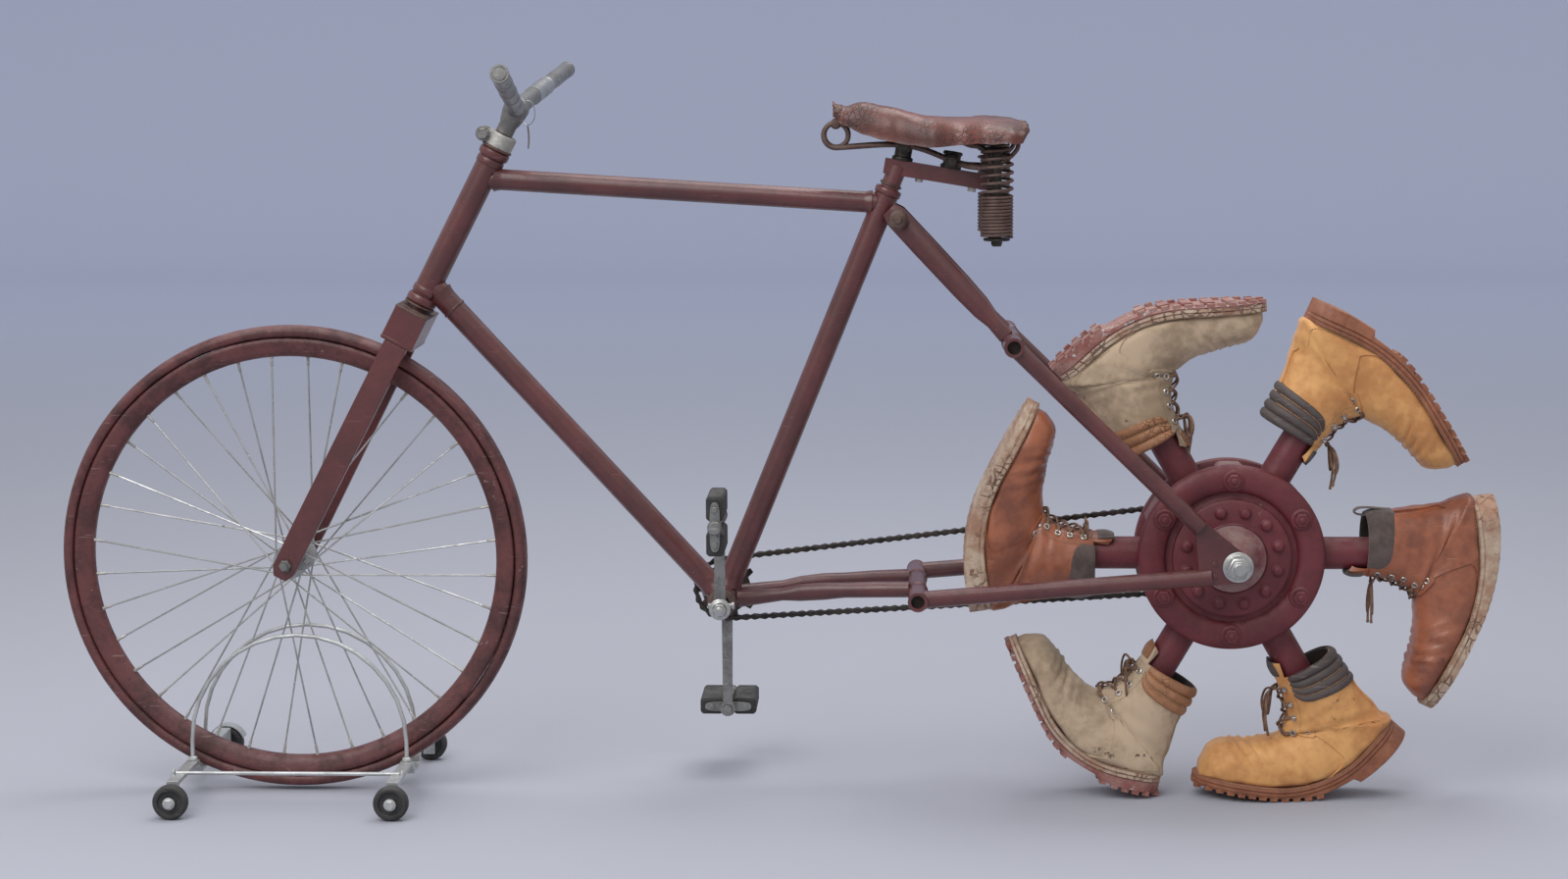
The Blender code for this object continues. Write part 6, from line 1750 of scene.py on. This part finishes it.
def make_saddle_frame():
    front = ARM_ROOT + ARM_ALONG * 0.004 + ARM_UP * 0.0103
    rear = ARM_ROOT + ARM_ALONG * 0.068 + ARM_UP * 0.0103
    ring = Vector((NOSE_X + 0.004, 0, 0.8795))
    bm = bmesh.new()
    for base, height in ((front, 0.032), (rear, 0.022)):
        lathe(bm, [(0, 0), (0.0135, 0), (0.0140, 0.0015), (0.0135, 0.004), (0.0112, 0.005),
                   (0.0112, height - 0.005),
                   (0.0128, height - 0.004), (0.0128, height - 0.001), (0.0110, height),
                   (0, height + 0.0005)], base, ARM_UP, 32)
        centre = base + ARM_UP * (0.020 if height > 0.030 else 0.010)
        sweep(bm, [centre - Y * 0.0245, centre + Y * 0.0245], 0.0042, 14)
        for side in (-1, 1):
            nut(bm, centre + Y * side * 0.0220, Y * side, 0.0072, 0.0060, washer=0.0085)
            lathe(bm, [(0, 0), (0.0098, 0), (0.0100, 0.001), (0.0100, 0.006), (0.0088, 0.0070), (0, 0.0070)],
                  centre + Y * side * 0.0145, Y * side, 24)
    nut(bm, front + ARM_UP * 0.032, ARM_UP, 0.0068, 0.0052, washer=0.0095)
    piece("saddle_clamps", bm, [oily_steel()], "seat_pillar", bevel=0.0004)
    bm = bmesh.new()
    for side in (-1, 1):
        loop = [ring + around(math.radians(70) + 2 * math.pi * 1.555 * i / 48) * 0.016
                + Y * side * (0.0060 + 0.0110 * i / 48) for i in range(49)]
        wire_front = front + ARM_UP * 0.020 + Y * side * 0.019
        wire_rear = rear + ARM_UP * 0.010 + Y * side * 0.019
        foot = Vector((0.2735, side * 0.056, 0.838))
        rest = spline([loop[-1], wire_front, wire_rear, (wire_rear + foot) / 2 - Z * 0.002, foot], 8)
        sweep(bm, loop[:-1] + rest, 0.0034, 12)
        hoop = [foot, Vector((0.300, side * 0.062, 0.846)), Vector((0.318, side * 0.064, 0.862)),
                Vector((0.320, side * 0.058, 0.877)), Vector((0.322, side * 0.030, 0.884)),
                Vector((0.323, 0, 0.885))]
        sweep(bm, spline(hoop, 6), 0.0030, 10)
        strap = [Vector((0.232, side * 0.030, 0.880)), Vector((0.256, side * 0.034, 0.868)),
                 Vector((0.276, side * 0.042, 0.863)), Vector((0.286, side * 0.052, 0.842))]
        sweep(bm, spline(strap, 6), 0.0036, 10)
        nut(bm, ring + Z * 0.0150 + Y * side * 0.013, Y * side, 0.0058, 0.0040, washer=0.0072)
    sweep(bm, [ring + Z * 0.0150 - Y * 0.014, ring + Z * 0.0150 + Y * 0.014], 0.0042, 14)
    piece("saddle_wires", bm, [rusty_steel()], "saddle", ["saddle_frame"])


# ---- dolly and castors

DOLLY_X = -0.636
HOOP_HALF = 0.1445      # from the dolly's middle to the feet of its hoops


def make_dolly():
    dress(rod_steel(), "dolly_base", bevel=0.0006)
    dress(rod_steel(), "dolly_hoop_left", "dolly_hoop_right", bevel=0.0)
    bm = bmesh.new()
    for x_sign in (-1, 1):
        for side in (-1, 1):
            foot = Vector((DOLLY_X + x_sign * HOOP_HALF, side * 0.036, 0.0480))
            lathe(bm, [(0.0026, 0), (0.0062, 0), (0.0064, 0.0008), (0.0060, 0.0035), (0.0042, 0.0050),
                       (0.0026, 0.0052)], foot, Z, 20)
            nut(bm, foot - Z * 0.0035, -Z, 0.0052, 0.0040)
            hub = Vector((DOLLY_X + x_sign * HOOP_HALF, side * 0.1485, 0.0232))
            nut(bm, hub - Y * side * 0.0030, -Y * side, 0.0054, 0.0045, washer=0.0070)
            nut(bm, hub + Y * side * 0.0225, Y * side, 0.0066, 0.0040, washer=0.0080)
    for x_sign in (-1, 1):
        nut(bm, Vector((DOLLY_X + x_sign * 0.1500, -0.112, 0.0493)), X * x_sign, 0.0050, 0.0035)
    piece("dolly_nuts", bm, [rod_steel()], "dolly")
    bm = bmesh.new()
    hood_centre = Vector((DOLLY_X - HOOP_HALF, 0.161, 0.0231))
    rings = []
    for i in range(17):
        out = around(math.radians(20 + 140 * i / 16))
        rings.append([bm.verts.new(hood_centre + out * (0.0262 + 0.0007 * o) + Y * 0.0095 * y)
                      for y, o in ((-1, -1), (1, -1), (1, 1), (-1, 1))])
    skin(bm, rings)
    piece("castor_hood", bm, [rod_steel()], "dolly")


def make_castors():
    for end in ("front", "rear"):
        for label in ("left", "right"):
            name = "castor_%s_%s" % (end, label)
            low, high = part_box(name)
            radius, half = (high.z - low.z) / 2, (high.y - low.y) / 2
            bm = bmesh.new()
            face = [(0.0042, 0.86), (0.0090, 0.86), (0.0095, 0.60), (radius * 0.66, 0.60),
                    (radius * 0.70, 0.92), (radius - 0.0042, 1.0), (radius - 0.0016, 0.86), (radius, 0.50)]
            lathe(bm, [(r, -half * y) for r, y in face] + [(r, half * y) for r, y in reversed(face)],
                  middle(name), Y, 48, looped=True)
            piece("roller_%s_%s" % (end, label), bm, [black_rubber()], name, [name])


# ---- stage

def make_stage():
    sizes = setting("stage")
    made = bpy.data.materials.new("Backdrop")
    made.use_nodes = True
    shader = made.node_tree.nodes["Principled BSDF"]
    n = Nodes(made.node_tree)
    back = n.add("SeparateXYZ", {"Vector": n.place()}).outputs["Y"]
    colour = n.mix(n.between(back, 1.0, 8.0), four(setting("colours").floor),
                   four(setting("colours").backdrop))
    n.feed(colour, shader.inputs["Base Color"])
    shader.inputs["Roughness"].default_value = 0.85
    shader.inputs["Specular IOR Level"].default_value = 0.15
    bm = bmesh.new()
    reach, start, curve, tall = 14.0, 8.8, 2.4, 9.0
    profile = [(-reach, 0.0), (start, 0.0)]
    for i in range(1, 17):
        t = math.pi / 2 * i / 16
        profile.append((start + curve * math.sin(t), curve - curve * math.cos(t)))
    profile.append((start + curve, tall))
    skin(bm, [[bm.verts.new((x, y, z)) for x in (-reach, reach)] for y, z in profile], open_ring=True)
    bmesh.ops.recalc_face_normals(bm, faces=bm.faces)
    mesh = bpy.data.meshes.new("backdrop")
    bm.to_mesh(mesh)
    bm.free()
    mesh.shade_smooth()
    mesh.materials.append(made)
    floor = bpy.data.objects.new("backdrop", mesh)
    bpy.context.scene.collection.objects.link(floor)
    scene = bpy.context.scene
    world = bpy.data.worlds.new("Studio")
    scene.world = world
    world.use_nodes = True
    world.node_tree.nodes["Background"].inputs["Color"].default_value = (1.0, 1.0, 1.0, 1.0)
    world.node_tree.nodes["Background"].inputs["Strength"].default_value = sizes.world_light
    aim = Vector((0.0, 0.0, 0.45))
    for name, place, width, watts in (("Key", Vector((-1.3, -2.4, 3.1)), 2.6, sizes.lamp_watts * 1.35),
                                      ("Top", Vector((0.5, 0.6, 3.4)), 2.2, sizes.lamp_watts * 0.9)):
        light = bpy.data.lights.new(name, "AREA")
        light.shape, light.size, light.size_y, light.energy = "RECTANGLE", width, width, watts
        lamp = bpy.data.objects.new(name, light)
        lamp.location = place
        lamp.rotation_euler = (aim - place).to_track_quat("-Z", "Y").to_euler()
        scene.collection.objects.link(lamp)
    camera_data = bpy.data.cameras.new("Camera")
    camera_data.lens, camera_data.sensor_width = sizes.lens, 36.0
    camera = bpy.data.objects.new("Camera", camera_data)
    turn = Matrix.Rotation(sizes.heading, 4, "Z") @ Matrix.Rotation(math.pi / 2 - sizes.pitch, 4, "X") \
        @ Matrix.Rotation(sizes.roll, 4, "Z")
    camera.matrix_world = Matrix.Translation((sizes.camera_x, sizes.camera_y, sizes.camera_z)) @ turn
    scene.collection.objects.link(camera)
    scene.camera = camera
    scene.view_settings.view_transform = "Standard"


# ---- operators and panel

class Step:
    """What every building step shares."""
    bl_options = {"REGISTER", "UNDO"}


class Step:
    """What every building step shares."""


class Step:
    """What every building step shares."""


class BuildFrontWheel(Step, bpy.types.Operator):
    """Builds the tyre, rim, hub and laced spokes."""
    bl_idname = "cycle.front_wheel"
    bl_label = "Front Wheel"

    def execute(self, context):
        make_front_wheel()
        return {"FINISHED"}


class BuildFork(Step, bpy.types.Operator):
    """Finishes the crown and blades and adds the front axle."""
    bl_idname = "cycle.fork"
    bl_label = "Fork"

    def execute(self, context):
        make_fork()
        return {"FINISHED"}


class BuildHandlebar(Step, bpy.types.Operator):
    """Builds the V handlebar, its clamp collar and the key tag."""
    bl_idname = "cycle.handlebar"
    bl_label = "Handlebar"

    def execute(self, context):
        make_handlebar()
        return {"FINISHED"}


class BuildMainFrame(Step, bpy.types.Operator):
    """Finishes the main tubes and adds joints, bands and bearings."""
    bl_idname = "cycle.main_frame"
    bl_label = "Main Frame"

    def execute(self, context):
        make_main_frame()
        return {"FINISHED"}


class BuildRearFrame(Step, bpy.types.Operator):
    """Finishes the stays and arms and adds the rear axle's nuts."""
    bl_idname = "cycle.rear_frame"
    bl_label = "Rear Frame"

    def execute(self, context):
        make_rear_frame()
        return {"FINISHED"}


class BuildChain(Step, bpy.types.Operator):
    """Builds the block chain and finishes both sprockets."""
    bl_idname = "cycle.chain"
    bl_label = "Chain"

    def execute(self, context):
        make_chain()
        return {"FINISHED"}


class BuildCranks(Step, bpy.types.Operator):
    """Finishes the cranks and builds both pedals."""
    bl_idname = "cycle.cranks"
    bl_label = "Cranks and Pedals"

    def execute(self, context):
        make_cranks()
        return {"FINISHED"}


class BuildHub(Step, bpy.types.Operator):
    """Builds the bolted hub that carries the legs."""
    bl_idname = "cycle.hub"
    bl_label = "Boot Hub"

    def execute(self, context):
        make_hub()
        return {"FINISHED"}


class BuildBoots(Step, bpy.types.Operator):
    """Builds the six work boots at the ends of the legs."""
    bl_idname = "cycle.boots"
    bl_label = "Boots"

    def execute(self, context):
        make_boots()
        return {"FINISHED"}


class BuildSeatPillar(Step, bpy.types.Operator):
    """Finishes the seat pillar and builds both springs."""
    bl_idname = "cycle.seat_pillar"
    bl_label = "Seat Pillar"

    def execute(self, context):
        make_seat_pillar()
        return {"FINISHED"}


class BuildSaddle(Step, bpy.types.Operator):
    """Builds the leather saddle and the wires below it."""
    bl_idname = "cycle.saddle"
    bl_label = "Saddle"

    def execute(self, context):
        make_saddle()
        return {"FINISHED"}


class BuildDolly(Step, bpy.types.Operator):
    """Finishes the dolly under the front wheel and adds its nuts."""
    bl_idname = "cycle.dolly"
    bl_label = "Dolly"

    def execute(self, context):
        make_dolly()
        return {"FINISHED"}


class BuildCastors(Step, bpy.types.Operator):
    """Builds the dolly's four castors."""
    bl_idname = "cycle.castors"
    bl_label = "Castors"

    def execute(self, context):
        make_castors()
        return {"FINISHED"}


class BuildStage(Step, bpy.types.Operator):
    """Builds the floor, backdrop, lights and camera."""
    bl_idname = "cycle.stage"
    bl_label = "Stage"

    def execute(self, context):
        make_stage()
        return {"FINISHED"}


OPERATORS = (BuildFrontWheel, BuildFork, BuildHandlebar, BuildMainFrame,
             BuildRearFrame, BuildChain, BuildCranks, BuildHub,
             BuildBoots, BuildSeatPillar, BuildSaddle, BuildDolly, BuildCastors, BuildStage)


class CyclePanel(bpy.types.Panel):
    """Lists the parts in the order they are built."""
    bl_idname = "VIEW3D_PT_cycle"
    bl_label = "Boot Wheel Cycle"
    bl_space_type = "VIEW_3D"
    bl_region_type = "UI"
    bl_category = "Cycle"

    def draw(self, context):
        for operator in OPERATORS:
            self.layout.operator(operator.bl_idname)
        for group, kind in GROUPS.items():
            box = self.layout.box()
            box.label(text=group.capitalize())
            for name in kind.__annotations__:
                box.prop(setting(group), name)


CLASSES = tuple(GROUPS.values()) + OPERATORS + (CyclePanel,)


def register():
    for item in CLASSES:
        bpy.utils.register_class(item)
    for group, kind in GROUPS.items():
        setattr(bpy.types.Scene, "cycle_" + group, PointerProperty(type=kind))


def unregister():
    for group in GROUPS:
        delattr(bpy.types.Scene, "cycle_" + group)
    for item in reversed(CLASSES):
        bpy.utils.unregister_class(item)


def main():
    register()
    for operator in OPERATORS:
        part = operator.bl_idname.split(".")[1]
        if getattr(bpy.ops.cycle, part)() != {"FINISHED"}:
            raise RuntimeError("could not build " + operator.bl_label)


if __name__ == "__main__":
    main()
